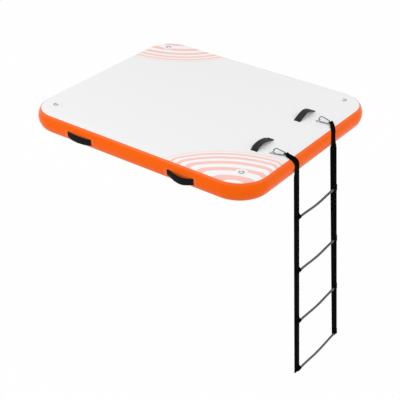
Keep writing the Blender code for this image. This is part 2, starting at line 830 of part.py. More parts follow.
def make_ladder(looks, hook_matrices):
    """Top straps over the edge, then four sections, each hinged below the one above."""
    for side, sign, matrix in zip(side_names, side_signs, hook_matrices):
        mesh_object(f"{side}_top_strap", top_strap_shape(TopStrap(matrix, sign)), looks["webbing"])
    parent = None
    for number in range(rung_count):
        pivot = pivot_empty(f"ladder_section_{number + 1}_pivot", hang_point(hinge_drop(number)), parent)
        for side, sign in zip(side_names, side_signs):
            shape = section_strap_shape(number, sign)
            strap = mesh_object(f"{side}_strap_{number + 1}", shape, looks["webbing"], pivot)
            shape = rung_loop_shape(number, sign)
            loop = mesh_object(f"{side}_rung_loop_{number + 1}_helper", shape, looks["webbing"])
            boolean(strap, loop, "UNION")
        mesh_object(f"rung_{number + 1}", rung_shape(number), looks["rung"], pivot)
        parent = pivot


# Webbing handles on the deck and on the long sides

handle_width = 0.050
handle_thickness = 0.0025
deck_handle_half_length = 0.085
deck_handle_rises = (0.030, 0.036)
handle_foot = 0.014
handle_patch_margin = 0.012
side_handle_width = 0.042
side_handle_half_length = 0.088
side_handle_bow = 0.030
side_handle_height = 0.066
side_patch_reach = 0.040
side_patch_half_height = 0.029


def handle_places(half_length):
    """Lengths along a handle, closer together where it leaves its feet, with its share of the rise."""
    places = [(-half_length - handle_foot, 0.0)]
    for share in spread(-1, 1, 12):
        places.append((half_length * share, math.cos(math.pi * share / 2)))
    places.append((half_length + handle_foot, 0.0))
    return places


def deck_handle_shape(centre_y, rise):
    """An arched strip that stands on two patches."""
    base = patch_top + fit_gap + handle_thickness / 2
    places = handle_places(deck_handle_half_length)
    points = [Vector((deck_handle_x, centre_y + along, base + rise * share)) for along, share in places]
    stations = []
    for k, point in enumerate(points):
        ahead = points[min(k + 1, len(points) - 1)]
        behind = points[max(k - 1, 0)]
        if k in (0, len(points) - 1):
            outward = Vector((0, 0, 1))
        else:
            tangent = (ahead - behind).normalized()
            outward = Vector((0, -tangent.z, tangent.y))
        if k in (1, len(points) - 2):
            outward = (outward + Vector((0, 0, 1))).normalized()
        stations.append((point, (1, 0, 0), outward, handle_width / 2, handle_thickness / 2))
    return band(stations)


def deck_handle_patch_shape(centre_y):
    """The patch that a deck handle is sewn to."""
    half_length = deck_handle_half_length + handle_foot + handle_patch_margin
    half_width = handle_width / 2 + handle_patch_margin
    low = (deck_handle_x - half_width, centre_y - half_length, platform_height + fit_gap)
    high = (deck_handle_x + half_width, centre_y + half_length, patch_top)
    return box(low, high)


def wall_strip(side_y, places, low_height, high_height, inner_depth, thickness):
    """A strip that follows the bulge of a long side; places are (x, how far it stands off)."""
    low, high = (math.asin(height / (platform_height / 2) - 1) for height in (low_height, high_height))
    angles = [low, *(angle for angle in wall_angles() if low < angle < high), high]
    rings = []
    for x, stand_off in places:
        rows = []
        for depth in (inner_depth, inner_depth - thickness):
            row = []
            for angle in angles:
                inset, height = edge_point(angle, depth)
                row.append((x, side_y * (platform_width / 2 - inset + stand_off), height))
            rows.append(row)
        rings.append(rows[0] + rows[1][::-1])
    return lofted(rings)


def side_handle_shape(centre_x, side_y):
    """A strip that bows out from the wall between its two feet."""
    half = side_handle_width / 2
    depth = -2 * fit_gap - patch_thickness
    lengths = handle_places(side_handle_half_length)
    places = [(centre_x + along, side_handle_bow * share) for along, share in lengths]
    low, high = side_handle_height - half, side_handle_height + half
    return wall_strip(side_y, places, low, high, depth, handle_thickness)


def side_handle_patch_shape(centre_x, side_y):
    """The patch that a side handle is sewn to."""
    reach = side_handle_half_length + side_patch_reach
    low = side_handle_height - side_patch_half_height
    high = side_handle_height + side_patch_half_height
    places = [(centre_x - reach, 0), (centre_x + reach, 0)]
    return wall_strip(side_y, places, low, high, -fit_gap, patch_thickness)


def make_handles(looks):
    """Two handles on the deck behind the ladder, and two on each long side, with their patches."""
    for side, sign, rise in zip(side_names, side_signs, deck_handle_rises):
        centre_y = sign * deck_handle_half_spacing
        mesh_object(f"{side}_deck_handle", deck_handle_shape(centre_y, rise), looks["handle"])
        patch = deck_handle_patch_shape(centre_y)
        mesh_object(f"{side}_deck_handle_patch", patch, looks["deck"], round_piece=False)
    for side, side_y in zip(side_names, side_signs):
        for end_name, end in (("back", -1), ("front", 1)):
            centre_x = end * side_handle_half_spacing
            mesh_object(f"{side}_{end_name}_handle", side_handle_shape(centre_x, side_y), looks["webbing"])
            patch = side_handle_patch_shape(centre_x, side_y)
            mesh_object(f"{side}_{end_name}_handle_patch", patch, looks["orange"])


# The inflation valve in the end wall away from the ladder

flange_radius = 0.032
flange_top = 0.0040
rim_step = 0.0005
lug_root = 0.001
flange_root = 0.009
barrel_radius = 0.021
barrel_end = 0.042
mouth_radius = 0.014
seat_top = 0.015
seat_radius = 0.0105
seat_thickness = 0.004
chamber_radius = 0.0165
gasket_thickness = 0.0015
nut_radius = 0.030
nut_end = 0.016
stem_radius = 0.0025
stem_disc_radius = 0.0125
stem_disc_thickness = 0.0027
stem_button_radius = 0.005
stem_button_thickness = 0.002
stem_top = 0.001
guide_thickness = 0.003
guide_hub_radius = 0.0052
guide_arm_half_angle = math.radians(12)
guide_arc_steps = 2
spring_radius = 0.0037
spring_wire_radius = 0.0005
spring_turns = 4
cap_radius = 0.0225
cap_thickness = 0.0024
plug_radius = 0.0134
plug_depth = 0.0035
seal_inner_radius = 0.0155
seal_outer_radius = 0.0200
seal_thickness = 0.001
grip_length = 0.030
grip_width = 0.006
grip_height = 0.003
cap_hinge_radius = 0.0275
hinge_half_width = 0.006
lug_depth = 0.003

valve_centre = Vector((-platform_length / 2, 0, platform_height / 2))


def turned(profile, segments, closed):
    """Spin a profile of (distance outward, radius) points about the valve's axis."""
    rings = []
    for outward, radius in profile:
        ring = []
        for y, z in arc((0, 0), radius, 0, 2 * math.pi, segments)[:-1]:
            ring.append(valve_centre + Vector((-outward, y, z)))
        rings.append(ring)
    return lofted(rings, closed)


def wall_prism(depth):
    """Helper: everything behind the end wall's face, offset by a depth, over the valve's width."""
    profile = [(-platform_length / 2 + edge_bulge, platform_height * side) for side in (1, 0)]
    for angle in wall_angles():
        inset, height = edge_point(angle, depth)
        profile.append((inset - platform_length / 2, height))
    rings = [[(x, y, z) for x, z in profile] for y in (-corner_radius / 2, corner_radius / 2)]
    return lofted(rings)


def valve_block(low_outward, high_outward, half_width, low_radius, high_radius):
    """A block at the top of the valve, between two distances out and two radii."""
    low = valve_centre + Vector((-high_outward, -half_width, low_radius))
    high = valve_centre + Vector((-low_outward, half_width, high_radius))
    return box(low, high)


def make_valve_body(looks, wall):
    """Flange shaped to the wall, barrel through it, seat inside, and the lug that the cap hinges on."""
    hole_radius = barrel_radius + fit_gap
    hole = turned([(cut_overrun, hole_radius), (-barrel_end, hole_radius)], round_segments, False)
    boolean(wall, mesh_object("wall_hole_helper", hole, looks["valve"]), "DIFFERENCE")
    profile = [
        (flange_top, mouth_radius), (flange_top, barrel_radius), (-barrel_end, barrel_radius),
        (-barrel_end, chamber_radius), (-seat_top - seat_thickness, chamber_radius),
        (-seat_top - seat_thickness, seat_radius), (-seat_top, seat_radius), (-seat_top, mouth_radius),
    ]
    body = mesh_object("valve_body", turned(profile, round_segments, True), looks["valve"])
    inner = (mouth_radius + barrel_radius) / 2
    face = flange_top - rim_step
    root = -flange_root
    profile = [(face, inner), (face, flange_radius), (root, flange_radius), (root, inner)]
    flange = mesh_object("flange_helper", turned(profile, round_segments, True), looks["valve"])
    behind = wall_prism(-2 * fit_gap - gasket_thickness)
    boolean(flange, mesh_object("behind_flange_helper", behind, looks["valve"]), "DIFFERENCE")
    cap_face = flange_top + 2 * fit_gap + seal_thickness + cap_thickness
    low_radius = cap_hinge_radius + fit_gap
    lug = valve_block(face - lug_root, cap_face, hinge_half_width, low_radius, low_radius + lug_depth)
    boolean(flange, mesh_object("cap_lug_helper", lug, looks["valve"]), "UNION")
    boolean(body, flange, "UNION")


def make_valve_seating(looks):
    """The gasket under the flange and the nut inside the wall."""
    inner = barrel_radius + fit_gap
    outer = flange_radius - fit_gap
    profile = [(flange_top, inner), (flange_top, outer), (-flange_root, outer), (-flange_root, inner)]
    gasket = mesh_object("valve_gasket", turned(profile, round_segments, True), looks["rubber"])
    outside = mesh_object("gasket_face_helper", wall_prism(-fit_gap - gasket_thickness), looks["rubber"])
    inside = mesh_object("gasket_back_helper", wall_prism(-fit_gap), looks["rubber"])
    boolean(gasket, outside, "INTERSECT")
    boolean(gasket, inside, "DIFFERENCE")
    profile = [(0, inner), (0, nut_radius), (-nut_end, nut_radius), (-nut_end, inner)]
    nut = mesh_object("valve_nut", turned(profile, round_segments, True), looks["valve"])
    face = mesh_object("nut_face_helper", wall_prism(skin_thickness + fit_gap), looks["valve"])
    boolean(nut, face, "INTERSECT")


def guide_shape():
    """The three-armed guide that the stem slides in, resting on the seat's shelf."""
    outer = mouth_radius - fit_gap
    outline = []
    for arm in range(3):
        middle = 2 * math.pi * arm / 3
        low, high = middle - guide_arm_half_angle, middle + guide_arm_half_angle
        outline += arc((0, 0), outer, low, high, guide_arc_steps)
        low, high = middle + 2 * guide_arm_half_angle, middle + 2 * math.pi / 3 - 2 * guide_arm_half_angle
        outline += arc((0, 0), guide_hub_radius, low, high, guide_arc_steps)
    bore = arc((0, 0), stem_radius + fit_gap, 0, 2 * math.pi, 10)[:-1]
    flat = extruded(outline, [bore], guide_thickness / 2)
    middle_x = valve_centre.x + seat_top - fit_gap - guide_thickness / 2
    place = Matrix.Translation((middle_x, valve_centre.y, valve_centre.z))
    return moved(flat, place @ Matrix.Rotation(math.pi / 2, 4, "Z"))


def spring_shape():
    """The coil between the guide and the stem's button, as one unbroken wire."""
    low = -seat_top + 2 * fit_gap + guide_thickness + spring_wire_radius
    high = -stem_top - stem_button_thickness - fit_gap - spring_wire_radius
    per_turn = 10
    path = []
    for step in range(spring_turns * per_turn + 1):
        angle = 2 * math.pi * step / per_turn
        outward = low + (high - low) * step / (spring_turns * per_turn)
        around = Vector((0, spring_radius * math.cos(angle), spring_radius * math.sin(angle)))
        path.append(valve_centre + Vector((-outward, 0, 0)) + around)
    gap = (high - low) / spring_turns - 2 * spring_wire_radius
    print("least gap between the valve spring's turns, mm:", round(gap * 1000, 2))
    return tube(path, [spring_wire_radius] * len(path), wire_sides - 1, (1, 0, 0))


def make_valve_insides(looks):
    """Guide, sliding stem with its sealing disc, and spring."""
    mesh_object("valve_guide", guide_shape(), looks["valve"])
    disc_top = -seat_top - seat_thickness - fit_gap
    button_low = -stem_top - stem_button_thickness
    profile = [
        (disc_top - stem_disc_thickness, stem_disc_radius), (disc_top, stem_disc_radius),
        (disc_top, stem_radius), (button_low, stem_radius),
        (button_low, stem_button_radius), (-stem_top, stem_button_radius),
    ]
    pivot = pivot_empty("valve_stem_pivot", valve_centre)
    mesh_object("valve_stem", turned(profile, round_segments, False), looks["valve"], pivot)
    mesh_object("valve_spring", spring_shape(), looks["steel"])


def make_valve_cap(looks):
    """The cap with its plug, grip bar and hinge ear, and the flat seal under it."""
    seal_low = flange_top + fit_gap
    plate_low = seal_low + seal_thickness + fit_gap
    face = plate_low + cap_thickness
    pivot = pivot_empty("valve_cap_pivot", valve_centre + Vector((-face, 0, cap_hinge_radius)))
    profile = [
        (flange_top - plug_depth, plug_radius), (plate_low, plug_radius),
        (plate_low, cap_radius), (face, cap_radius),
    ]
    cap = mesh_object("valve_cap", turned(profile, round_segments, False), looks["cap"], pivot)
    ear = valve_block(plate_low, face, hinge_half_width, mouth_radius, cap_hinge_radius)
    boolean(cap, mesh_object("cap_ear_helper", ear, looks["cap"]), "UNION")
    grip_low = valve_centre + Vector((-face - grip_height, -grip_length / 2, -grip_width / 2))
    grip_high = valve_centre + Vector((-face + cap_thickness / 2, grip_length / 2, grip_width / 2))
    boolean(cap, mesh_object("cap_grip_helper", box(grip_low, grip_high), looks["cap"]), "UNION")
    seal_high = seal_low + seal_thickness
    profile = [
        (seal_low, seal_inner_radius), (seal_low, seal_outer_radius),
        (seal_high, seal_outer_radius), (seal_high, seal_inner_radius),
    ]
    mesh_object("valve_cap_seal", turned(profile, round_segments, True), looks["rubber"], pivot)


def main():
    """Build every piece of the platform and its ladder."""
    clear_scene()
    looks = {
        "deck": material("deck_sheet", (0.86, 0.86, 0.86), 0.6),
        "orange": material("orange_sheet", (1.0, 0.13, 0.01), 0.35),
        "thread": material("thread", (0.8, 0.8, 0.78), 0.9),
        "steel": material("stainless_steel", (0.55, 0.55, 0.56), 0.3, 1.0),
        "webbing": material("black_webbing", (0.008, 0.008, 0.009), 0.85),
        "handle": material("handle_webbing", (0.035, 0.036, 0.036), 0.8),
        "rung": material("rung_plastic", (0.11, 0.11, 0.11), 0.5),
        "valve": material("valve_plastic", (0.04, 0.04, 0.042), 0.45),
        "cap": material("cap_plastic", (0.05, 0.05, 0.052), 0.4),
        "rubber": material("seal_rubber", (0.02, 0.02, 0.02), 0.7),
    }
    wall = make_air_chamber(looks)
    make_ring_bases(looks)
    make_corner_rings(looks)
    hooks = []
    for number, (side, (name, place, heading)) in enumerate(zip(side_names, ladder_ring_places())):
        hooks.append(make_hook(looks, number, side, place))
    make_ladder(looks, hooks)
    make_handles(looks)
    make_valve_body(looks, wall)
    make_valve_seating(looks)
    make_valve_insides(looks)
    make_valve_cap(looks)


main()
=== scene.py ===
# %% [markdown]
# # Inflatable dock platform with a boarding ladder
# A dock like this is a drop-stitch air chamber: two flat skins held parallel by thousands of threads,
# closed by a side wall that bulges between them. A webbing ladder hangs over one end from two snap hooks.
# This lesson starts from the solids of the part and dresses each of them with a finer surface.
# The first cell loads the solids as the frame. Everything after it is placed against that frame.

# %% Load the solids
import math
import bmesh
import bpy
import numpy as np
from mathutils import Matrix, Vector


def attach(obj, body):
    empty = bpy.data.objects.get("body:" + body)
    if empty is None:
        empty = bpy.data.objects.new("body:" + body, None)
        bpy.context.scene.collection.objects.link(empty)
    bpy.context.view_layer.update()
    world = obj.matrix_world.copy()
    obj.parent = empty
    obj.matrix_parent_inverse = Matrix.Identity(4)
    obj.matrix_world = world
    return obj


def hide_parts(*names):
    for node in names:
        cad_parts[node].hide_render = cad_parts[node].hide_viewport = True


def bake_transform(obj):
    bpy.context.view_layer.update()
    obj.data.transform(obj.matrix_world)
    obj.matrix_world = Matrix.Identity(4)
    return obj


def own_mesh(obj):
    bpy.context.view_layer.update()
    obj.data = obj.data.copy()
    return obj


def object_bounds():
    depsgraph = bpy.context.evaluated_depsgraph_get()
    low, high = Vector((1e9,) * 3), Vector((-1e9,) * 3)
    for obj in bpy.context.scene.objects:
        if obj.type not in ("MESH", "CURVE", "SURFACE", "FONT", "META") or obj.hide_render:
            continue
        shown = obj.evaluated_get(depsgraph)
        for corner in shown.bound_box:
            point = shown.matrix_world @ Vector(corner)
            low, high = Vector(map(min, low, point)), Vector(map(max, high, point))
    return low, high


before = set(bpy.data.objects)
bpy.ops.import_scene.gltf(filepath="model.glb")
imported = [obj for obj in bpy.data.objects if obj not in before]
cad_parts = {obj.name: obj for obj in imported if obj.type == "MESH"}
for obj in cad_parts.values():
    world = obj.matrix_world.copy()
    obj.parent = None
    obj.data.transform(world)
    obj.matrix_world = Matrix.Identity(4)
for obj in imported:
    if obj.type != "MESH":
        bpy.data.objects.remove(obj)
cad_low, cad_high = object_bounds()
print("box of the solids, metres:", [round(v, 4) for v in cad_low], [round(v, 4) for v in cad_high])

# %% [markdown]
# ## The camera
# The camera comes first, because every later choice is judged through it. Its place was found by fitting
# the platform's corners, rings and rungs to a photograph. A camera is turned with two angles here:
# how high it stands above the horizon, and how far it has walked round the object.

# %% Set up the camera
camera_place = (3.6263, -4.8484, 3.1137)
camera_azimuth = math.radians(36.837)
camera_elevation = math.radians(31.696)
camera_lens = 89.28

camera_data = bpy.data.cameras.new("camera")
camera_data.lens = camera_lens
camera_data.sensor_width = 36.0
camera_data.clip_end = 200.0
camera = bpy.data.objects.new("camera", camera_data)
bpy.context.collection.objects.link(camera)
camera.location = camera_place
camera.rotation_euler = (math.pi / 2 - camera_elevation, 0, camera_azimuth)
bpy.context.scene.camera = camera
print("camera", round(np.linalg.norm(camera_place), 2), "m from the platform's middle")

# %% [markdown]
# ## Shader nodes
# A material in Blender is a small graph. Two helpers keep the cells that follow short: one adds a node and
# fills in its sockets, the other starts a material and hands back its graph and its main shader.
# Numbers that are the same all over a surface are set on the shader itself, never through another node.

# %% Helpers for materials
def add(tree, kind, values=None, **settings):
    """Add one node, set its own settings, then the values of its input sockets."""
    made = tree.nodes.new(kind)
    for name, value in settings.items():
        setattr(made, name, value)
    for socket, value in (values or {}).items():
        made.inputs[socket].default_value = value
    return made


def new_look(name, roughness, metallic=0.0, specular=0.5):
    """Start a material: returns it with its node tree and its Principled shader."""
    look = bpy.data.materials.new(name)
    look.use_nodes = True
    tree = look.node_tree
    shader = tree.nodes["Principled BSDF"]
    shader.inputs["Roughness"].default_value = roughness
    shader.inputs["Metallic"].default_value = metallic
    shader.inputs["Specular IOR Level"].default_value = specular
    return look, tree, shader


def bump(tree, shader, height, depth, strength=1.0):
    """Send a height from 0 to 1 to the shader's normal, as relief of that depth in metres."""
    relief = add(tree, "ShaderNodeBump", {"Distance": depth, "Strength": strength})
    tree.links.new(height, relief.inputs["Height"])
    tree.links.new(relief.outputs["Normal"], shader.inputs["Normal"])


def spread_over(tree, source, low, high, target):
    """Stretch a value from 0 to 1 over low to high and send it to a socket."""
    stretch = add(tree, "ShaderNodeMapRange", {"To Min": low, "To Max": high})
    tree.links.new(source, stretch.inputs["Value"])
    tree.links.new(stretch.outputs["Result"], target)


def grain(tree, coordinates, scale, detail=2.0):
    """A noise that follows Object or UV coordinates; returns its value's socket."""
    source = add(tree, "ShaderNodeTexCoord")
    noise = add(tree, "ShaderNodeTexNoise", {"Scale": scale, "Detail": detail})
    tree.links.new(source.outputs[coordinates], noise.inputs["Vector"])
    return noise.outputs["Fac"]


def tinted(tree, shader, source, low, high):
    """Colour the shader from low to high as a value goes from 0 to 1."""
    ramp = add(tree, "ShaderNodeValToRGB")
    ramp.color_ramp.elements[0].color = (*low, 1)
    ramp.color_ramp.elements[1].color = (*high, 1)
    tree.links.new(source, ramp.inputs["Fac"])
    tree.links.new(ramp.outputs["Color"], shader.inputs["Base Color"])


print("material helpers ready")

# %% [markdown]
# ## The sky
# The dock is shown in a bright, even studio. The sky is a plain pale world, which lights everything softly.
# The background turns white by its own colour: for the camera, and in mirror reflections, the world counts
# as white of strength 1. The Light Path node tells which kind of ray is asking.

# %% Make the sky
sky_strength = 0.82


def white_rays(tree):
    """A socket that is 1 for rays of the camera, of mirror reflections and of clear materials."""
    rays = add(tree, "ShaderNodeLightPath")
    first = add(tree, "ShaderNodeMath", operation="MAXIMUM")
    second = add(tree, "ShaderNodeMath", operation="MAXIMUM")
    tree.links.new(rays.outputs["Is Camera Ray"], first.inputs[0])
    tree.links.new(rays.outputs["Is Glossy Ray"], first.inputs[1])
    tree.links.new(first.outputs[0], second.inputs[0])
    tree.links.new(rays.outputs["Is Transmission Ray"], second.inputs[1])
    return second.outputs[0]


def make_sky():
    """White for the camera and in reflections, and a plain pale light for everything else."""
    world = bpy.data.worlds.new("studio")
    world.use_nodes = True
    tree = world.node_tree
    tree.nodes.clear()
    pale = add(tree, "ShaderNodeBackground", {"Color": (1, 1, 1, 1), "Strength": sky_strength})
    white = add(tree, "ShaderNodeBackground", {"Color": (1, 1, 1, 1), "Strength": 1.0})
    mix = add(tree, "ShaderNodeMixShader")
    out = add(tree, "ShaderNodeOutputWorld")
    tree.links.new(white_rays(tree), mix.inputs[0])
    tree.links.new(pale.outputs[0], mix.inputs[1])
    tree.links.new(white.outputs[0], mix.inputs[2])
    tree.links.new(mix.outputs[0], out.inputs["Surface"])
    bpy.context.scene.world = world


make_sky()
print("sky strength", sky_strength)

# %% [markdown]
# ## The floor
# The floor is one big round face below the ladder's foot. For the camera it is mostly the same plain white as
# the sky, so that no horizon shows. The rest of its finish is matte, so that it still takes a soft shadow.

# %% Make the floor
floor_drop = 0.03
floor_radius = 60.0
floor_sides = 96
floor_white_share = 0.97
floor_height = cad_low[2] - floor_drop


def floor_finish():
    """Matte near-white that takes shadows, most of it replaced by plain white for the camera."""
    look, tree, shader = new_look("floor_finish", 0.9, specular=0.2)
    tinted(tree, shader, grain(tree, "Object", 3.0), (0.88, 0.88, 0.88), (0.90, 0.90, 0.90))
    white = add(tree, "ShaderNodeEmission", {"Color": (1, 1, 1, 1), "Strength": 1.0})
    share = add(tree, "ShaderNodeMath", operation="MULTIPLY")
    share.inputs[1].default_value = floor_white_share
    mix = add(tree, "ShaderNodeMixShader")
    tree.links.new(white_rays(tree), share.inputs[0])
    tree.links.new(share.outputs[0], mix.inputs[0])
    tree.links.new(shader.outputs[0], mix.inputs[1])
    tree.links.new(white.outputs[0], mix.inputs[2])
    tree.links.new(mix.outputs[0], tree.nodes["Material Output"].inputs["Surface"])
    return look


def make_floor():
    """A wide round floor a little below the ladder's foot."""
    angles = np.linspace(0, 2 * np.pi, floor_sides, endpoint=False)
    level = np.full(floor_sides, floor_height)
    rim = np.stack([floor_radius * np.cos(angles), floor_radius * np.sin(angles), level], 1)
    mesh = bpy.data.meshes.new("floor")
    mesh.from_pydata(rim.tolist(), [], [tuple(range(floor_sides))])
    mesh.materials.append(floor_finish())
    ground = bpy.data.objects.new("floor", mesh)
    bpy.context.collection.objects.link(ground)


make_floor()
print("floor height", round(floor_height, 3), "m")

# %% [markdown]
# ## The lamps
# Two big lamps add a little direction to the light: one over the near left side, one beyond the ladder.
# They are kept weak, so that the white deck stays just below pure white and its grain can be seen.

# %% Set the lamps
def make_lamp(name, place, power, size):
    """A square area lamp that faces the platform."""
    data = bpy.data.lights.new(name, "AREA")
    data.energy = power
    data.size = size
    lamp = bpy.data.objects.new(name, data)
    bpy.context.collection.objects.link(lamp)
    lamp.location = place
    lamp.rotation_euler = (-Vector(place)).to_track_quat("-Z", "Y").to_euler()


make_lamp("key_lamp", (-2.2, -3.8, 4.0), 64.0, 2.6)
make_lamp("side_lamp", (4.6, 1.2, 3.4), 34.0, 2.2)
bpy.context.scene.view_settings.view_transform = "Standard"
print("lamps:", len(bpy.data.lights))

# %% [markdown]
# ## Surfaces from grids of points
# Most pieces below are made the same way: a formula gives a grid of points, rows by columns, and the grid
# becomes quads. Whole arrays are used, because a loop over single points is slow and hard to read.
# Along its columns every grid closes on itself, like a ring; along its rows it may close too, like a tyre.
# These three helpers number its quads, measure it, and tell by its volume whether its faces point outwards.

# %% Number and measure a grid
def enclosed_volume(points, faces):
    """Six times the signed volume inside quads: positive when the faces point outwards."""
    a, b, c, d = (points[faces[:, k]] for k in range(4))
    first = np.einsum("ij,ij->i", a, np.cross(b, c))
    second = np.einsum("ij,ij->i", a, np.cross(c, d))
    return float((first + second).sum())


def run_length(points):
    """Distance covered along the first axis of a row of places, starting at 0."""
    steps = np.linalg.norm(np.diff(points, axis=0), axis=1)
    return np.concatenate([[0.0], np.cumsum(steps)])


def grid_faces(rows, columns, closed_rows):
    """Corner rows and columns of every quad; indexes past the end stand for the first row or column."""
    row, column = np.meshgrid(
        np.arange(rows if closed_rows else rows - 1), np.arange(columns), indexing="ij")
    corner_rows = np.stack([row, row, row + 1, row + 1], -1).reshape(-1, 4)
    corner_columns = np.stack([column, column + 1, column + 1, column], -1).reshape(-1, 4)
    return corner_rows, corner_columns


print("quads in a closed belt of 3 rows and 4 columns:", len(grid_faces(3, 4, closed_rows=True)[0]))

# %% [markdown]
# ### From grid to mesh
# The grid's points and quads go into a mesh in one step, with a UV map in metres for finishes that follow the
# surface. Open ends are capped. Many equal small shapes, such as stitches, are one grid with one more
# dimension in front. Every finished piece is then tied to a body of the frame, so that it moves with it.

# %% Turn a grid into a mesh
sharp_angle = math.radians(38)


def surface(name, points, look, closed_rows=False, along=0.0):
    """A mesh object from a grid of points; its UV map is metres across (u) and metres along (v)."""
    points = np.asarray(points, float)
    batch = points if points.ndim == 4 else points[None]
    count, rows, columns = batch.shape[:3]
    corner_rows, corner_columns = grid_faces(rows, columns, closed_rows)
    one = (corner_rows % rows) * columns + corner_columns % columns
    faces = (one[None] + np.arange(count)[:, None, None] * rows * columns).reshape(-1, 4)
    flat = batch.reshape(-1, 3)
    middle = np.concatenate([batch[0].mean(1), batch[0].mean(1)[:1]])
    around = np.concatenate([batch[0, rows // 2], batch[0, rows // 2, :1]])
    length, width = run_length(middle) + along, run_length(around)
    maps = np.tile(np.stack([width[corner_columns], length[corner_rows]], -1), (count, 1, 1))
    lids = []
    if not closed_rows:
        ends = np.arange(columns)
        starts = np.arange(count)[:, None] * rows * columns
        lids = (starts + ends[::-1]).tolist() + (starts + (rows - 1) * columns + ends).tolist()
    if enclosed_volume(flat - flat.mean(0), faces) < 0:
        faces = faces[:, ::-1]
        maps = maps[:, ::-1]
        lids = [lid[::-1] for lid in lids]
    mesh = bpy.data.meshes.new(name)
    mesh.from_pydata(flat.tolist(), [], faces.tolist() + lids)
    layer = mesh.uv_layers.new(name="UVMap")
    lid_corners = sum(len(lid) for lid in lids)
    values = np.concatenate([maps.reshape(-1, 2), np.zeros((lid_corners, 2))])
    layer.data.foreach_set("uv", values.astype(np.float32).ravel())
    mesh.materials.append(look)
    mesh.shade_smooth()
    mesh.set_sharp_from_angle(angle=sharp_angle)
    made = bpy.data.objects.new(name, mesh)
    bpy.context.collection.objects.link(made)
    return made


def put(piece, body, slot, *nodes):
    """Let a piece move with a body and stand for the solids it dresses; its slot is not used."""
    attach(piece, body)
    if nodes:
        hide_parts(*nodes)
    return piece


print("grid helpers ready")

# %% [markdown]
# ## Tubes and ribbons
# Wire, tubing and thread are a circle carried along a path. Webbing is a flat ribbon with rounded edges,
# carried along a path in the same way, but it also needs to know which way its face looks.
# Both helpers only return points, so that a cell can still change them before they become a mesh.

# %% Carry a section along a path
def unit(vectors):
    """Vectors shortened or stretched to length 1."""
    vectors = np.asarray(vectors, float)
    return vectors / np.linalg.norm(vectors, axis=-1, keepdims=True)


def directions(path, closed=False):
    """Direction at each place of a path: from the place before to the place after."""
    if closed:
        return unit(np.roll(path, -1, axis=-2) - np.roll(path, 1, axis=-2))
    return unit(np.gradient(path, axis=-2))


def tube(path, radius, sides, reference, closed=False):
    """Circle of the given radius round each place: place + radius (cos a side + sin a up)."""
    path = np.asarray(path, float)
    tangent = directions(path, closed)
    side = unit(np.cross(tangent, np.asarray(reference, float)))
    up = np.cross(side, tangent)
    angle = 2 * np.pi * np.arange(sides) / sides
    radius = np.broadcast_to(np.asarray(radius, float), path.shape[:-1])[..., None, None]
    turned = np.cos(angle)[:, None] * side[..., None, :] + np.sin(angle)[:, None] * up[..., None, :]
    return path[..., None, :] + radius * turned


def ribbon_section(flat_steps=8, edge_steps=4):
    """Outline of a ribbon: a flat share from -1 to 1, plus a unit circle that rounds its two edges."""
    half = np.linspace(-np.pi / 2, np.pi / 2, edge_steps + 1)
    flat = np.linspace(-1, 1, flat_steps + 1)[1:-1]
    share = np.concatenate([np.ones(edge_steps + 1), -flat, -np.ones(edge_steps + 1), flat])
    round_across = np.concatenate([np.cos(half), 0 * flat, -np.cos(half), 0 * flat])
    round_out = np.concatenate([np.sin(half), 0 * flat + 1, -np.sin(half), 0 * flat - 1])
    return share, round_across, round_out


def ribbon(centre, across, outward, half_width, half_thickness):
    """Ribbon section at each place: sideways by its share of the width, outwards by its thickness."""
    share, round_across, round_out = ribbon_section()
    centre = np.asarray(centre, float)
    rows = len(centre)
    width = np.broadcast_to(half_width, rows)[:, None]
    thick = np.broadcast_to(half_thickness, rows)[:, None]
    sideways = share * (width - thick) + round_across * thick
    outwards = round_out * thick
    across = np.broadcast_to(across, centre.shape)
    outward = np.broadcast_to(outward, centre.shape)
    return centre[:, None] + sideways[..., None] * across[:, None] + outwards[..., None] * outward[:, None]


print("points in one ribbon section:", len(ribbon_section()[0]))

# %% [markdown]
# ## The stripes on the deck
# The deck is pale grey-white sheet, with two sets of ring-shaped stripes that spread from opposite corners.
# The stripes are not painted on the mesh: the distance to a centre point picks the colour, so the edges stay
# sharp at any size. Two helpers give the distance to the nearer centre, and the colour at each distance.

# %% Distances and colours of the stripes
deck_white = (0.87, 0.87, 0.873)
stripe_white = (0.91, 0.915, 0.925)
stripe_pink = (0.94, 0.57, 0.505)
stripe_pale = (0.94, 0.75, 0.71)
stripe_centres = ((0.915, -1.035), (-0.915, 1.035))
stripe_radii = (
    (0.362, 0.410), (0.461, 0.502), (0.541, 0.576), (0.604, 0.632), (0.653, 0.675), (0.686, 0.703))
stripe_range = (0.30, 0.80)
stripe_blur = 0.002


def nearest_centre(tree):
    """Distance, level with the deck, to the nearer of the two stripe centres."""
    source = add(tree, "ShaderNodeTexCoord")
    level = add(tree, "ShaderNodeVectorMath", operation="MULTIPLY")
    level.inputs[1].default_value = (1, 1, 0)
    tree.links.new(source.outputs["Object"], level.inputs[0])
    nearer = add(tree, "ShaderNodeMath", operation="MINIMUM")
    for k, (x, y) in enumerate(stripe_centres):
        distance = add(tree, "ShaderNodeVectorMath", operation="DISTANCE")
        distance.inputs[1].default_value = (x, y, 0)
        tree.links.new(level.outputs[0], distance.inputs[0])
        tree.links.new(distance.outputs["Value"], nearer.inputs[k])
    return nearer.outputs[0]


def stripe_stops():
    """Places and colours along the ramp, two stops at each edge of a stripe."""
    stops = [(stripe_range[0], stripe_white)]
    for k, (inner, outer) in enumerate(stripe_radii):
        last = k == len(stripe_radii) - 1
        colour = stripe_pale if last else stripe_pink
        after = deck_white if last else stripe_white
        stops += [(inner, stripe_white), (inner + stripe_blur, colour)]
        stops += [(outer - stripe_blur, colour), (outer, after)]
    return stops


print("ring stripes:", len(stripe_radii), "ramp stops:", len(stripe_stops()))

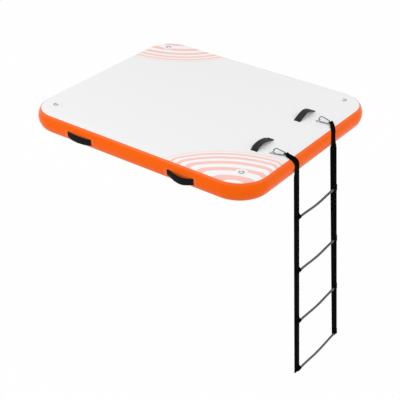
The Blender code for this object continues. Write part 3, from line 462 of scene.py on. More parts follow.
# %% [markdown]
# ### The deck's finish
# A colour ramp turns the distance into a colour. It has one stop on each side of every stripe edge, so that
# an edge is a short, soft step. The gloss varies over the sheet and a fine grain lies on it; without them it
# would look like card.

# %% Finish of the deck
def striped_deck_finish():
    """White sheet with pink rings; its roughness varies slowly over it, and a fine grain gives it relief."""
    look, tree, shader = new_look("deck_sheet_finish", 0.55, specular=0.35)
    low, high = stripe_range
    stretch = add(tree, "ShaderNodeMapRange", {"From Min": low, "From Max": high})
    tree.links.new(nearest_centre(tree), stretch.inputs["Value"])
    ramp = add(tree, "ShaderNodeValToRGB")
    elements = ramp.color_ramp.elements
    elements.remove(elements[1])
    for k, (radius, colour) in enumerate(stripe_stops()):
        place = (radius - low) / (high - low)
        element = elements[0] if k == 0 else elements.new(place)
        element.position = place
        element.color = (*colour, 1)
    tree.links.new(stretch.outputs["Result"], ramp.inputs["Fac"])
    tree.links.new(ramp.outputs["Color"], shader.inputs["Base Color"])
    spread_over(tree, grain(tree, "Object", 14.0), 0.48, 0.62, shader.inputs["Roughness"])
    bump(tree, shader, grain(tree, "Object", 700.0, 3.0), 0.00025, 0.6)
    return look


deck_look = striped_deck_finish()
print("made:", deck_look.name)

# %% [markdown]
# ## Plain coated sheet
# The wall, the tape and the patches are coated sheet too, with a faint leather-like grain. They share one
# recipe, and differ in colour and gloss. The tape's lighter, pinker orange is partly its own colour and
# partly painted reflection and painted highlight on the rounded edges. The wall is the glossiest, because it
# is stretched tight.

# %% Finishes of the plain sheet
def sheet_finish(name, low, high, roughness, specular=0.22):
    """Coated sheet in one colour, a little uneven, with a fine grain."""
    look, tree, shader = new_look(name, roughness, specular=specular)
    tinted(tree, shader, grain(tree, "Object", 5.0), low, high)
    gloss = grain(tree, "Object", 22.0)
    spread_over(tree, gloss, roughness - 0.05, roughness + 0.07, shader.inputs["Roughness"])
    bump(tree, shader, grain(tree, "Object", 900.0, 3.0), 0.0002, 0.5)
    return look


orange_look = sheet_finish("orange_sheet_finish", (0.98, 0.124, 0.0), (1.0, 0.140, 0.0), 0.17, 0.08)
# The tape's lighter, pinker orange is partly painted reflection and painted highlight on the rounded edges
# above and below the wall.
tape_look = sheet_finish("tape_finish", (0.96, 0.135, 0.006), (1.0, 0.155, 0.012), 0.30)
patch_look = sheet_finish("patch_finish", (0.90, 0.90, 0.90), (0.94, 0.94, 0.94), 0.45)
print("sheet finishes:", [look.name for look in (orange_look, tape_look, patch_look)])

# %% [markdown]
# ## The plan of the platform
# Seen from above, the platform is a rounded rectangle. Think of a smaller rectangle with sharp corners, and
# push every point of its edge outwards by the corner radius: sides stay straight and corners turn round.
# If each column of a grid keeps its own foot and its own outward direction, outlines of every size line up.

# %% Feet and directions of the outline
platform_length, platform_width, platform_height = 1.83, 1.52, 0.15
corner_radius = 0.22
edge_bulge = 0.062
skin_thickness = 0.0012
fit_gap = 0.0003
corner_steps, side_steps = 22, 20
pucker_turn = 2.1


def outline_feet():
    """Feet on the small rectangle and outward directions, counter-clockwise from the first corner."""
    half = np.array([platform_length / 2 - corner_radius, platform_width / 2 - corner_radius])
    corners = np.array([[1, 1], [-1, 1], [-1, -1], [1, -1]]) * half
    turn = np.linspace(0, np.pi / 2, corner_steps, endpoint=False)
    slide = np.linspace(0, 1, side_steps, endpoint=False)[:, None]
    feet, angles = [], []
    for quarter in range(4):
        here, after = corners[quarter], corners[(quarter + 1) % 4]
        feet += [np.repeat(here[None], corner_steps, 0), here + (after - here) * slide]
        angles += [quarter * np.pi / 2 + turn, np.full(side_steps, (quarter + 1) * np.pi / 2)]
    angles = np.concatenate(angles)
    return np.concatenate(feet), np.stack([np.cos(angles), np.sin(angles)], 1)


feet, outwards = outline_feet()
corner_hump = np.sin(np.linspace(0, np.pi, corner_steps, endpoint=False))
corner_share = np.tile(np.r_[corner_hump, np.zeros(side_steps)], 4)


def edge_rings(angles, depth, pucker=0.0):
    """Outlines of the bulging edge. At an angle from level the ellipse gives inset and height:
    inset = bulge - (bulge - depth) cos angle, height = middle + (middle - depth) sin angle.
    A pucker adds short waves, in metres, where the sheet is gathered at the corners."""
    angles = np.asarray(angles, float)[:, None]
    depth = np.broadcast_to(depth, len(angles))[:, None]
    reach = corner_radius - edge_bulge + (edge_bulge - depth) * np.cos(angles)
    wave = np.sin(np.arange(len(feet)) * pucker_turn) * corner_share
    reach = reach + pucker * wave * np.cos(angles)
    height = platform_height / 2 + (platform_height / 2 - depth) * np.sin(angles) + 0 * wave
    plan = feet[None] + reach[..., None] * outwards[None]
    return np.concatenate([plan, height[..., None]], -1)


print("columns round the edge:", len(feet))

# %% [markdown]
# ## The deck
# The deck skin is flat where the threads hold it, and rolls down over the edge to its seam with the wall.
# It is modelled as a closed shell, like a shallow tray: the grid runs from the middle of its underside out
# to the rim, turns over, and comes back over the top. That gives the sheet a real thickness at the seam.

# %% Make the two skins
seam_angle = math.radians(45)
skin_rows, flat_rows = 12, 8
first_outline_share = 0.01


def skin_points(upside):
    """Tray of sheet: shrinking outlines for the flat part, edge outlines for the rolled part."""
    rolled = np.linspace(np.pi / 2, seam_angle + fit_gap / edge_bulge, skin_rows)
    shares = np.linspace(first_outline_share, 1, flat_rows, endpoint=False)[:, None, None]
    sides = []
    for depth in (skin_thickness, 0.0):
        rings = edge_rings(upside * rolled, depth)
        flat = np.concatenate([rings[:1, :, :2] * shares, np.repeat(rings[:1, :, 2:], flat_rows, 0)], -1)
        sides.append(np.concatenate([flat, rings]))
    return np.concatenate([sides[0], sides[1][::-1]])


deck = put(surface("deck_skin", skin_points(1), deck_look), "platform", "deck_sheet", "top_skin")
underside = surface("underside_skin", skin_points(-1), orange_look)
put(underside, "platform", "orange_sheet", "bottom_skin")
print("deck quads:", len(deck.data.polygons))

# %% [markdown]
# ## The side wall and its tapes
# The wall is one strip of orange sheet all the way round. A tape is glued over the seam above it and another
# over the seam below. An inflated corner shows small puckers in its tape, so the tapes get short waves there,
# and their edges thin out. Each strip is a closed loop of rows: down the outside, then up the inside.

# %% Make the wall and the tapes
tape_low, tape_high = math.radians(36), math.radians(52.5)
tape_thickness = 0.001
corner_pucker = 0.0004
wall_rows, tape_rows, feather_rows = 25, 12, 2.5
rows_from_edge = np.minimum(np.arange(tape_rows), np.arange(tape_rows)[::-1]) + 0.5
tape_depths = -fit_gap - tape_thickness * np.minimum(1, rows_from_edge / feather_rows)


def belt_points(low, high, rows, outer_depth, inner_depth, pucker=0.0):
    """Belt of sheet through the angles low to high: outer outlines one way, inner outlines back."""
    angles = np.linspace(low, high, rows)
    outer = edge_rings(angles, outer_depth, pucker)
    inner = edge_rings(angles, inner_depth, pucker)
    return np.concatenate([outer, inner[::-1]])


def make_belt(name, points, look, node):
    """One closed belt round the platform."""
    made = surface(name, points, look, closed_rows=True)
    return put(made, "platform", "orange_sheet", node)


wall_points = belt_points(-seam_angle, seam_angle, wall_rows, 0.0, skin_thickness)
wall = make_belt("wall_sheet", wall_points, orange_look, "side_wall")
for name, sign in (("top", 1), ("bottom", -1)):
    low, high = sign * tape_low, sign * tape_high
    points = belt_points(low, high, tape_rows, tape_depths, -fit_gap, corner_pucker)
    make_belt(f"{name}_tape", points, tape_look, f"{name}_seam_tape")
print("wall quads:", len(wall.data.polygons))

# %% [markdown]
# ### The hole for the valve
# The valve needs a way through the wall. A Boolean modifier takes a round cutter away from the sheet. Its
# result is kept as plain mesh, and then the modifier and the cutter are removed again.

# %% Cut the hole in the wall
hole_radius, hole_reach, hole_sides = 0.0213, 0.02, 48
valve_middle = np.array([-platform_length / 2, 0, platform_height / 2])


def cutter_points():
    """Cylinder along x through the wall: two equal circles, one outside the wall and one inside it."""
    turn = np.linspace(0, 2 * np.pi, hole_sides, endpoint=False)
    circle = hole_radius * np.stack([0 * turn, np.cos(turn), np.sin(turn)], -1)
    reach = np.array([-hole_reach, hole_reach])[:, None, None] * np.array([1, 0, 0])
    return valve_middle + circle[None] + reach


def cut_away(piece, points):
    """Take the shape given by the points away from a piece for good."""
    cutter = surface("cutter", points, piece.active_material)
    modifier = piece.modifiers.new("cut", "BOOLEAN")
    modifier.object = cutter
    modifier.solver = "EXACT"
    evaluated = piece.evaluated_get(bpy.context.evaluated_depsgraph_get())
    result = bpy.data.meshes.new_from_object(evaluated)
    piece.modifiers.remove(modifier)
    piece.data = result
    result.set_sharp_from_angle(angle=sharp_angle)
    bpy.data.objects.remove(cutter)


cut_away(wall, cutter_points())
print("wall faces with the hole:", len(wall.data.polygons))

# %% [markdown]
# ## Copies of small hardware
# Pins, springs and the valve already have their whole shape in the solids. They are copied and finished
# instead of made again: the copy's loose triangles are merged, flat areas are joined, and soft shading is
# split only at real edges. The solid itself is never changed.

# %% Finish a copy of a solid
merge_distance = 0.00001
flat_angle, copy_sharp_angle = math.radians(1), math.radians(32)


def finished_copy(node, look, body, slot, bevel=0.0):
    """Copy a solid's mesh, merge its points, join its flat areas and shade it."""
    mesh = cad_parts[node].data.copy()
    mesh.name = f"{node}_piece"
    mesh.transform(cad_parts[node].matrix_world)
    shape = bmesh.new()
    shape.from_mesh(mesh)
    bmesh.ops.remove_doubles(shape, verts=shape.verts, dist=merge_distance)
    bmesh.ops.dissolve_limit(shape, angle_limit=flat_angle, verts=shape.verts, edges=shape.edges)
    shape.to_mesh(mesh)
    shape.free()
    mesh.materials.clear()
    mesh.materials.append(look)
    mesh.shade_smooth()
    mesh.set_sharp_from_angle(angle=copy_sharp_angle)
    made = bpy.data.objects.new(f"{node}_piece", mesh)
    bpy.context.collection.objects.link(made)
    if bevel:
        edge = made.modifiers.new("edge", "BEVEL")
        edge.width = bevel
        edge.segments = 2
        edge.angle_limit = copy_sharp_angle
        edge.harden_normals = False
    return put(made, body, slot, node)


print("solids that can be copied:", len(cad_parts))

# %% [markdown]
# ## Metal, plastic, rubber and thread
# The rings and hooks are drawn stainless wire: a metal with a soft, slightly streaky gloss. Both are painted
# darker than bare steel, as painted shade, and the hooks and their gates darker than the rings, so the two
# get one recipe with different tones.
# The rungs are grey plastic tube with fine scuffs, the valve is moulded plastic, its seals are matte rubber.
# All of them get their variety from noise on Object coordinates, which stay with the piece when it moves.

# %% Finishes of the hard parts
def metal_finish(name, low, high):
    """Stainless wire: grey metal, with roughness and a faint tone that vary along it."""
    look, tree, shader = new_look(name, 0.3, metallic=1.0)
    tinted(tree, shader, grain(tree, "Object", 260.0), low, high)
    spread_over(tree, grain(tree, "Object", 420.0), 0.20, 0.40, shader.inputs["Roughness"])
    bump(tree, shader, grain(tree, "Object", 2200.0), 0.00004, 0.6)
    return look


def plastic_finish(name, low, high, roughness, scale):
    """Moulded or drawn plastic: two near tones, uneven gloss and shallow scuffs."""
    look, tree, shader = new_look(name, roughness, specular=0.45)
    tinted(tree, shader, grain(tree, "Object", scale), low, high)
    gloss = grain(tree, "Object", scale * 3)
    spread_over(tree, gloss, roughness - 0.08, roughness + 0.10, shader.inputs["Roughness"])
    bump(tree, shader, grain(tree, "Object", scale * 14, 4.0), 0.00006, 0.5)
    return look


# Both greys are painted shade: darker than bare stainless steel, the hooks' grey the darker of the two.
steel_look = metal_finish("steel_finish", (0.17, 0.17, 0.175), (0.29, 0.29, 0.30))
ring_look = metal_finish("ring_finish", (0.38, 0.38, 0.39), (0.52, 0.52, 0.53))
rung_look = plastic_finish("rung_finish", (0.060, 0.060, 0.061), (0.095, 0.095, 0.097), 0.42, 60.0)
valve_look = plastic_finish("valve_finish", (0.030, 0.030, 0.032), (0.045, 0.045, 0.047), 0.45, 90.0)
cap_look = plastic_finish("cap_finish", (0.040, 0.040, 0.042), (0.055, 0.055, 0.058), 0.40, 90.0)
rubber_look = plastic_finish("rubber_finish", (0.016, 0.016, 0.016), (0.026, 0.026, 0.026), 0.72, 120.0)
drop_thread_look = plastic_finish("drop_thread_finish", (0.70, 0.70, 0.68), (0.82, 0.82, 0.80), 0.85, 300.0)
print("finishes so far:", len(bpy.data.materials))

# %% [markdown]
# ## Woven finishes
# Webbing is woven: thick cross ribs with finer yarns over them. Two sets of bands, one along the ribbon and
# one across it, multiplied together, look like that from near and far. Their product also darkens the colour
# where the weave is low, as painted shade in the grooves. They follow the UV map, which was laid out in
# metres, so one number, the width of a rib, sets the scale of every ribbon.

# %% Finishes of webbing and thread
def wave_scale(period):
    """Scale of Blender's wave texture for bands that repeat every so many metres."""
    return math.pi / (10 * period)


def bands(tree, direction, period, distortion=0.0):
    """Bands over the UV map in one direction; returns their value's socket."""
    source = add(tree, "ShaderNodeTexCoord")
    values = {"Scale": wave_scale(period), "Distortion": distortion, "Detail": 1.0}
    wave = add(tree, "ShaderNodeTexWave", values)
    wave.bands_direction = direction
    tree.links.new(source.outputs["UV"], wave.inputs["Vector"])
    return wave.outputs["Fac"]


def webbing_finish(name, low, high, rib, yarn, depth, specular=0.22, roughness=0.85):
    """Ribs across and yarns along: their product is the relief, and it darkens the tone in the low grooves as
    painted shade.
    """
    look, tree, shader = new_look(name, roughness, specular=specular)
    weave = add(tree, "ShaderNodeMath", operation="MULTIPLY_ADD")
    tree.links.new(bands(tree, "Y", rib, 0.4), weave.inputs[0])
    tree.links.new(bands(tree, "X", yarn, 0.6), weave.inputs[1])
    weave.inputs[2].default_value = 0.1
    # The tone follows the weave's height, so its grooves carry painted shade.
    tinted(tree, shader, weave.outputs[0], low, high)
    gloss = grain(tree, "UV", 90.0)
    spread_over(tree, gloss, roughness - 0.08, roughness + 0.08, shader.inputs["Roughness"])
    bump(tree, shader, weave.outputs[0], depth, 0.8)
    shader.inputs["Sheen Weight"].default_value = 0.2 * specular
    shader.inputs["Sheen Roughness"].default_value = 0.4
    return look


strap_rib = 0.0021
strap_look = webbing_finish(
    "strap_weave", (0.0008, 0.0008, 0.0009), (0.0026, 0.0026, 0.0028), strap_rib, 0.0034, 0.0003, 0.03)
handle_look = webbing_finish(
    "handle_weave", (0.012, 0.012, 0.013), (0.044, 0.045, 0.046), 0.0050, 0.0062, 0.0006)
grip_look = webbing_finish(
    "grip_weave", (0.004, 0.004, 0.0043), (0.012, 0.012, 0.013), 0.0028, 0.0040, 0.0004, 0.12)
loop_look = webbing_finish(
    "white_loop_weave", (0.84, 0.84, 0.84), (0.93, 0.93, 0.93), 0.0016, 0.0022, 0.0002)
dark_thread_look = plastic_finish(
    "dark_thread_finish", (0.012, 0.012, 0.013), (0.030, 0.030, 0.032), 0.7, 900.0)
pale_thread_look = plastic_finish(
    "pale_thread_finish", (0.86, 0.86, 0.86), (0.94, 0.94, 0.94), 0.7, 900.0)
print("wave scale for the strap's ribs:", round(wave_scale(strap_rib), 1))

# %% [markdown]
# ## Stitches
# Sewn seams are what tells webbing from rubber. One stitch is a short tube that rises out of the webbing
# and dives back in. A row of them is worked out at once: every stitch has its own start and end,
# and the same curve, half a sine wave, lifts its middle.

# %% Rows of stitches
stitch_length = 0.0036
stitch_share = 0.72
stitch_radius = 0.00036
stitch_end_share = 0.35
stitch_rise = 0.0003
stitch_sides, stitch_rows = 5, 5


def stitch_row(start, end):
    """Starts and ends of the stitches on one straight seam."""
    start, end = np.asarray(start, float), np.asarray(end, float)
    count = max(2, int(round(np.linalg.norm(end - start) / stitch_length)))
    places = np.arange(count)[:, None] / count
    step = (end - start) / count
    return start + (end - start) * places, start + (end - start) * places + step * stitch_share


def stitch_points(rows, normal):
    """Tubes for all the stitches: straight line plus a half sine wave along the normal."""
    starts = np.concatenate([row[0] for row in rows])
    ends = np.concatenate([row[1] for row in rows])
    share = np.linspace(0, 1, stitch_rows)[:, None]
    normal = np.asarray(normal, float)
    lift = stitch_rise * np.sin(np.pi * share) * 2 - stitch_rise
    path = starts[:, None] + (ends - starts)[:, None] * share + lift * normal
    radius = stitch_radius * (stitch_end_share + (1 - stitch_end_share) * np.sin(np.pi * share[:, 0]))
    return tube(path, radius[None], stitch_sides, normal)


def box_seam(centre, along, across, half_long, half_wide, crossed=False):
    """Four seams round a rectangle, and two more from corner to corner if it is crossed."""
    centre, along, across = (np.asarray(v, float) for v in (centre, along, across))
    signs = ((-1, -1), (1, -1), (1, 1), (-1, 1))
    corner = [centre + a * half_long * along + b * half_wide * across for a, b in signs]
    rows = [stitch_row(corner[k], corner[(k + 1) % 4]) for k in range(4)]
    if crossed:
        rows += [stitch_row(corner[0], corner[2]), stitch_row(corner[1], corner[3])]
    return rows


print("faces in one stitch:", stitch_sides * (stitch_rows - 1) + 2)

# %% [markdown]
# ## Round patches
# Each ring is held by a strip of white webbing, folded round its bar and sewn down on a round patch.
# The patch is a profile spun about its axis, with a soft edge where the glue lets it roll over.

# %% Shape of a round patch
patch_radius, patch_thickness, patch_shift = 0.040, 0.0012, 0.006
patch_centre_radius, patch_middle_radius, patch_sides = 0.0005, 0.02, 48


def patch_points(x, y):
    """Disc with a rounded rim: radius and height along the profile, spun about the upright axis."""
    rim = np.linspace(-np.pi / 2, np.pi / 2, 7)
    half = patch_thickness / 2
    inner = np.array([patch_centre_radius, patch_middle_radius])
    radius = np.r_[inner, patch_radius - half + half * np.cos(rim), inner[::-1]]
    height = np.r_[0, 0, half + half * np.sin(rim), 2 * half, 2 * half] + platform_height + fit_gap
    angle = np.linspace(0, 2 * np.pi, patch_sides, endpoint=False)
    spun = np.stack([x + radius[:, None] * np.cos(angle), y + radius[:, None] * np.sin(angle)], -1)
    return np.concatenate([spun, np.repeat(height[:, None, None], len(angle), 1)], -1)


print("points in a round patch:", patch_points(0, 0).shape)

# %% [markdown]
# ### Loops round the bars
# The strip is a ribbon: in along the patch, round the bar, and back on top of itself. The place of the ring's
# bar follows from it, since the bar rests inside the fold. The six bases differ only in place and heading.

# %% Make the patches and loops
sewn_depth = 0.0004
ring_wire_radius = 0.0025
loop_thickness, loop_width, loop_tail, loop_taper = 0.0015, 0.020, 0.026, 0.012
loop_turn_end, loop_pressed = 0.80 * np.pi, 0.98
loop_seam_back, loop_seam_half_long, loop_seam_half_wide = 0.0188, 0.0055, 0.0078
patch_top = platform_height + fit_gap + patch_thickness
loop_radius = ring_wire_radius + fit_gap + loop_thickness
ring_height = patch_top - sewn_depth + loop_radius
corner_ring_place = (0.754, 0.604)
ladder_ring_places = {"left": (0.771, -0.3035), "right": (0.774, 0.236)}


def loop_points(x, y, heading):
    """Ribbon whose middle runs in under the bar, round it, and back over its own tail."""
    middle = loop_radius - loop_thickness / 2
    turn = np.linspace(-np.pi / 2, loop_turn_end, 22)
    upper = -loop_radius + 1.5 * loop_thickness
    back = np.linspace(0, 1, 12)
    raised = back * back * (3 - 2 * back)
    last = middle * np.array([np.cos(turn[-1]), np.sin(turn[-1])])
    run = np.r_[np.linspace(-loop_tail, 0, 8, endpoint=False), middle * np.cos(turn),
                last[0] + (-loop_taper - last[0]) * back[1:], np.linspace(-loop_taper, -loop_tail, 6)[1:]]
    rise = np.r_[np.full(8, -middle), middle * np.sin(turn),
                 last[1] + (upper - last[1]) * raised[1:], np.full(5, upper)]
    forward = np.array([math.cos(heading), math.sin(heading), 0])
    across = np.array([-forward[1], forward[0], 0])
    path = np.array([x, y, ring_height]) + run[:, None] * forward + rise[:, None] * np.array([0, 0, 1.0])
    outward = unit(np.cross(directions(path), across))
    return ribbon(path, across, outward, loop_width / 2, loop_thickness / 2 * loop_pressed)


def make_ring_base(name, x, y, heading):
    """Patch, loop and its sewn square."""
    node = f"{name}_ring_base"
    ahead = np.array([math.cos(heading), math.sin(heading), 0])
    centre = (x + patch_shift * ahead[0], y + patch_shift * ahead[1])
    put(surface(f"{name}_patch", patch_points(*centre), patch_look), "platform", "deck_sheet", node)
    put(surface(f"{name}_loop", loop_points(x, y, heading), loop_look), "platform", "deck_sheet", node)
    top = ring_height - loop_radius + 2 * loop_thickness
    seam_centre = np.array([x, y, top]) - ahead * loop_seam_back
    sideways = (-ahead[1], ahead[0], 0)
    seams = box_seam(
        seam_centre, ahead, sideways, loop_seam_half_long, loop_seam_half_wide, crossed=True)
    stitches = surface(f"{name}_loop_stitches", stitch_points(seams, (0, 0, 1)), pale_thread_look)
    put(stitches, "platform", "deck_sheet", node)


corner_rings = {}
for end, side_x in (("back", -1), ("front", 1)):
    for side, side_y in (("left", -1), ("right", 1)):
        place = (side_x * corner_ring_place[0], side_y * corner_ring_place[1])
        corner_rings[f"{end}_{side}"] = (*place, math.atan2(side_y, side_x))
for name, (x, y, heading) in corner_rings.items():
    make_ring_base(name, x, y, heading)
for side, (x, y) in ladder_ring_places.items():
    make_ring_base(f"{side}_ladder", x, y, 0.0)
print("ring bases:", len(corner_rings) + len(ladder_ring_places), "bar height:", round(ring_height, 4))

# %% [markdown]
# ## Rings
# A D-ring is one piece of wire: a straight bar in the loop, two tight bends, and a half circle for the bow.
# The bow lies towards the corner. The two rings of the ladder stand up, because the hooks lift them.

# %% Make the rings
ring_half_width, ring_depth, ring_fillet = 0.0155, 0.024, 0.004
corner_ring_lift = -0.0458
ladder_ring_lifts = {"left": math.radians(38.13), "right": math.radians(32.45)}


def arc(centre_x, centre_y, radius, start, end, steps):
    """Places on a flat arc, both ends included."""
    angle = np.linspace(start, end, steps)
    return np.stack([centre_x + radius * np.cos(angle), centre_y + radius * np.sin(angle), 0 * angle], 1)


def ring_points(x, y, heading, lift):
    """Wire along the D: bar on the hinge line, bow reaching out along the heading and lifted."""
    corner = ring_half_width - ring_fillet
    quarter = np.pi / 2
    bar = np.stack([np.zeros(5), np.linspace(-corner, corner, 7)[1:-1], np.zeros(5)], 1)
    path = np.concatenate([
        bar, arc(ring_fillet, corner, ring_fillet, 2 * quarter, quarter, 8),
        arc(ring_depth - ring_half_width, 0, ring_half_width, quarter, -quarter, 28),
        arc(ring_fillet, -corner, ring_fillet, -quarter, -2 * quarter, 8)])
    wire = tube(path, ring_wire_radius, 14, (0, 0, 1), closed=True)
    turn = Matrix.Rotation(heading, 4, "Z") @ Matrix.Rotation(-lift, 4, "Y")
    return carried(wire, Matrix.Translation((x, y, ring_height)) @ turn)


def carried(points, matrix):
    """Points taken through a matrix."""
    matrix = np.array(matrix)
    return points @ matrix[:3, :3].T + matrix[:3, 3]


def make_ring(name, x, y, heading, lift):
    """Wire of one ring, tied to its own body."""
    ring = surface(f"{name}_wire", ring_points(x, y, heading, lift), ring_look, closed_rows=True)
    put(ring, name, "stainless_steel", name)


for name, (x, y, heading) in corner_rings.items():
    make_ring(f"{name}_ring", x, y, heading, corner_ring_lift)
for side, (x, y) in ladder_ring_places.items():
    make_ring(f"{side}_ladder_ring", x, y, 0, ladder_ring_lifts[side])
print("rings:", len(corner_rings) + len(ladder_ring_places))

# %% [markdown]
# ## Snap hooks
# A snap hook is a pear shape bent from one wire, left open on one long side, where a sprung gate closes it.
# Two arcs, a wide and a narrow one, are joined by straight runs that touch both of them.
# It is drawn flat first, and then carried to the place where it lies on the deck: turned on the deck,
# tipped down to the strap, and rolled over on its side.

# %% Shape and place of a hook
hook_length, hook_wire_radius = 0.078, 0.0036
hook_wide_radius, hook_narrow_radius = 0.0175, 0.0095
hook_nose_share, hook_pivot_share = 0.14, 0.80
nose_rounding = (0.62, 0.95)
gate_radius = 0.0034
hook_places = {
    "left": ((0.78160, -0.29743, 0.16951), 14.0, 5.912, 42.0),
    "right": ((0.78620, 0.23704, 0.17350), 6.0, 7.694, -120.0),
}


def hook_matrix(side):
    """From the hook's own flat drawing to where it lies."""
    place, yaw, pitch, roll = hook_places[side]
    turn = Matrix.Rotation(math.radians(yaw), 4, "Z") @ Matrix.Rotation(math.radians(pitch), 4, "Y")
    return Matrix.Translation(place) @ turn @ Matrix.Rotation(math.radians(roll), 4, "X")


arc_distance = hook_length - hook_wide_radius - hook_narrow_radius
hook_slant = math.acos((hook_wide_radius - hook_narrow_radius) / arc_distance)
run_normal = np.array([math.cos(hook_slant), math.sin(hook_slant), 0])
wide_end = np.array([hook_wide_radius, 0, 0]) + hook_wide_radius * run_normal
narrow_end = np.array([hook_length - hook_narrow_radius, 0, 0]) + hook_narrow_radius * run_normal
run_vector = narrow_end - wide_end
gate_place = wide_end + hook_pivot_share * run_vector
gate_along = -unit(run_vector)
gate_across = np.cross([0, 0, 1.0], gate_along)


def hook_points():
    """Wire from its nose, round the wide arc, along the back, round the narrow arc to the gate's end."""
    gap = (gate_radius + fit_gap) / np.linalg.norm(run_vector)
    nose = np.linspace(hook_nose_share, 0, 6, endpoint=False)[:, None]
    finish = np.linspace(1, hook_pivot_share + gap, 5)[1:, None]
    path = np.concatenate([
        wide_end + nose * run_vector,
        arc(hook_wide_radius, 0, hook_wide_radius, hook_slant, 2 * np.pi - hook_slant, 34),
        arc(hook_length - hook_narrow_radius, 0, hook_narrow_radius, -hook_slant, hook_slant, 20),
        wide_end + finish * run_vector])
    radius = np.full(len(path), hook_wire_radius)
    radius[:2] = np.array(nose_rounding) * hook_wire_radius
    return tube(path, radius, 16, (0, 0, 1))


print("straight run of a hook, mm:", round(np.linalg.norm(run_vector) * 1000, 1))

# %% [markdown]
# ### Gates
# The gate is a short round bar that turns on a pin. It ends in two flat cheeks, one on each side of the
# tongue, which is the flattened end of the hook's wire. The pin goes through all three. Cheeks and tongue are
# ribbons with a round end: over the last few rows their width follows nearly a circle.

# %% Make the hooks and gates
gate_fork, fork_rounding, gate_nose_rounding = 0.0046, 0.90, 0.93
tongue_radius, tongue_thickness = 0.0028, 0.0024
cheek_half_width, cheek_half_thickness, cheek_offset = 0.0029, 0.0008, 0.00235
cheek_start, cheek_overlap, tongue_clearance = -0.0031, 0.001, 0.0002
round_end_rows, round_end_depth = 5, 0.85


def gate_line(near, far, steps):
    """Places on the gate's line, by their distance from its pivot."""
    return gate_place + np.linspace(near, far, steps)[:, None] * gate_along


def gate_points():
    """Round bar from the fork to the nose, rounded off at both ends."""
    length = (hook_pivot_share - hook_nose_share) * np.linalg.norm(run_vector) - fit_gap
    path = gate_line(gate_fork, length, 16)
    radius = np.full(16, gate_radius)
    radius[0], radius[-1] = fork_rounding * gate_radius, gate_nose_rounding * gate_radius
    return tube(path, radius, 16, (0, 0, 1))


def rounded(rows_from_end):
    """Share of the full width near a round end: the root of 1 minus the squared rest, times the depth."""
    share = np.clip(rows_from_end / round_end_rows, 0, 1)
    return np.sqrt(1 - (1 - share) ** 2 * round_end_depth)


def cheek_points(side):
    """One flat cheek of the fork: a ribbon beside the tongue, rounded at the pivot."""
    path = gate_line(cheek_start, gate_fork + cheek_overlap, 12) + np.array([0, 0, side * cheek_offset])
    width = cheek_half_width * rounded(np.arange(12))
    return ribbon(path, gate_across, (0, 0, 1.0), width, cheek_half_thickness)


def tongue_points():
    """Flat end of the wire between the cheeks, rounded at the pivot."""
    path = gate_line(-gate_radius - 2 * tongue_radius, tongue_radius - tongue_clearance, 14)
    width = tongue_radius * rounded(13 - np.arange(14))
    return ribbon(path, gate_across, (0, 0, 1.0), width, tongue_thickness / 2)


for side in ("left", "right"):
    matrix = hook_matrix(side)
    hook = f"{side}_hook"
    for name, points in (("wire", hook_points()), ("tongue", tongue_points())):
        made = surface(f"{hook}_{name}", carried(points, matrix), steel_look)
        put(made, hook, "stainless_steel", hook)
    gate = surface(f"{side}_gate_bar", carried(gate_points(), matrix), steel_look)
    put(gate, f"{side}_gate", "stainless_steel", f"{side}_hook_gate")
    for name, way in (("upper", 1), ("lower", -1)):
        cheek = surface(f"{side}_gate_{name}_cheek", carried(cheek_points(way), matrix), steel_look)
        put(cheek, f"{side}_gate", "stainless_steel", f"{side}_hook_gate")
    finished_copy(f"{side}_gate_pin", steel_look, hook, "stainless_steel")
    finished_copy(f"{side}_gate_spring", steel_look, f"{side}_gate", "stainless_steel")
print("gate length, mm:", round(np.linalg.norm(run_vector) * (hook_pivot_share - hook_nose_share) * 1000, 1))

# %% [markdown]
# ## Straps over the edge
# Each strap is folded round the hook's narrow end and sewn to itself, then runs down to the edge, over the
# tape and onto the wall, where it starts to hang. This cell holds the curves for that: a smooth step from 0
# to 1, a cubic that leaves and arrives in a given direction, the strap's place across the ladder, and the
# bulging edge itself, with a little lift where the strap crosses the tape.

# %% Curves for the straps
strap_width, strap_thickness = 0.051, 0.0025
ladder_lean, ladder_splay = math.radians(4.25), math.radians(1.15)
ladder_half_width, ladder_centre_y = 0.220, -0.012
ramp_low, ramp_high = math.radians(18), math.radians(31)
face_distance = fit_gap + strap_thickness / 2


def ease(share):
    """Smooth step from 0 to 1."""
    share = np.clip(share, 0, 1)
    return share * share * (3 - 2 * share)


def cubic(share, start, start_slope, end, end_slope, length):
    """Cubic from start to end that leaves and arrives with the given slopes."""
    rest = 1 - share
    value = start * (1 + 2 * share) * rest ** 2 + end * share ** 2 * (3 - 2 * share)
    return value + length * (start_slope * share * rest ** 2 - end_slope * share ** 2 * rest)


def strap_y(sign, drop):
    """Middle of a strap across the ladder, which widens towards its foot."""
    return ladder_centre_y + sign * (ladder_half_width + math.tan(ladder_splay) * drop)


def edge_path(angle):
    """Ellipse of the edge, pushed out along its normal by half a strap, and by the tape where it lies."""
    angle = np.asarray(angle, float)
    on_tape = ease((angle - ramp_low) / (ramp_high - ramp_low))
    distance = face_distance + (fit_gap + tape_thickness) * on_tape
    across, up = np.cos(angle), np.sin(angle)
    x = platform_length / 2 - edge_bulge * (1 - across)
    place = np.stack([x, 0 * up, platform_height / 2 * (1 + up)], -1)
    normal = unit(np.stack([across / edge_bulge, 0 * up, up / (platform_height / 2)], -1))
    return place + normal * distance[..., None]


print("strap on the wall's middle, x in m:", round(edge_path([0.0])[0, 0], 4))

# %% [markdown]
# ### The path over the edge
# The path is three pieces: straight off the hook, a cubic curve through the air, and the edge itself. Close
# to the hook the strap is bunched up and rolled over with it; it spreads and levels out within a few
# centimetres. The ribbon takes its width and its roll from the length along the path.

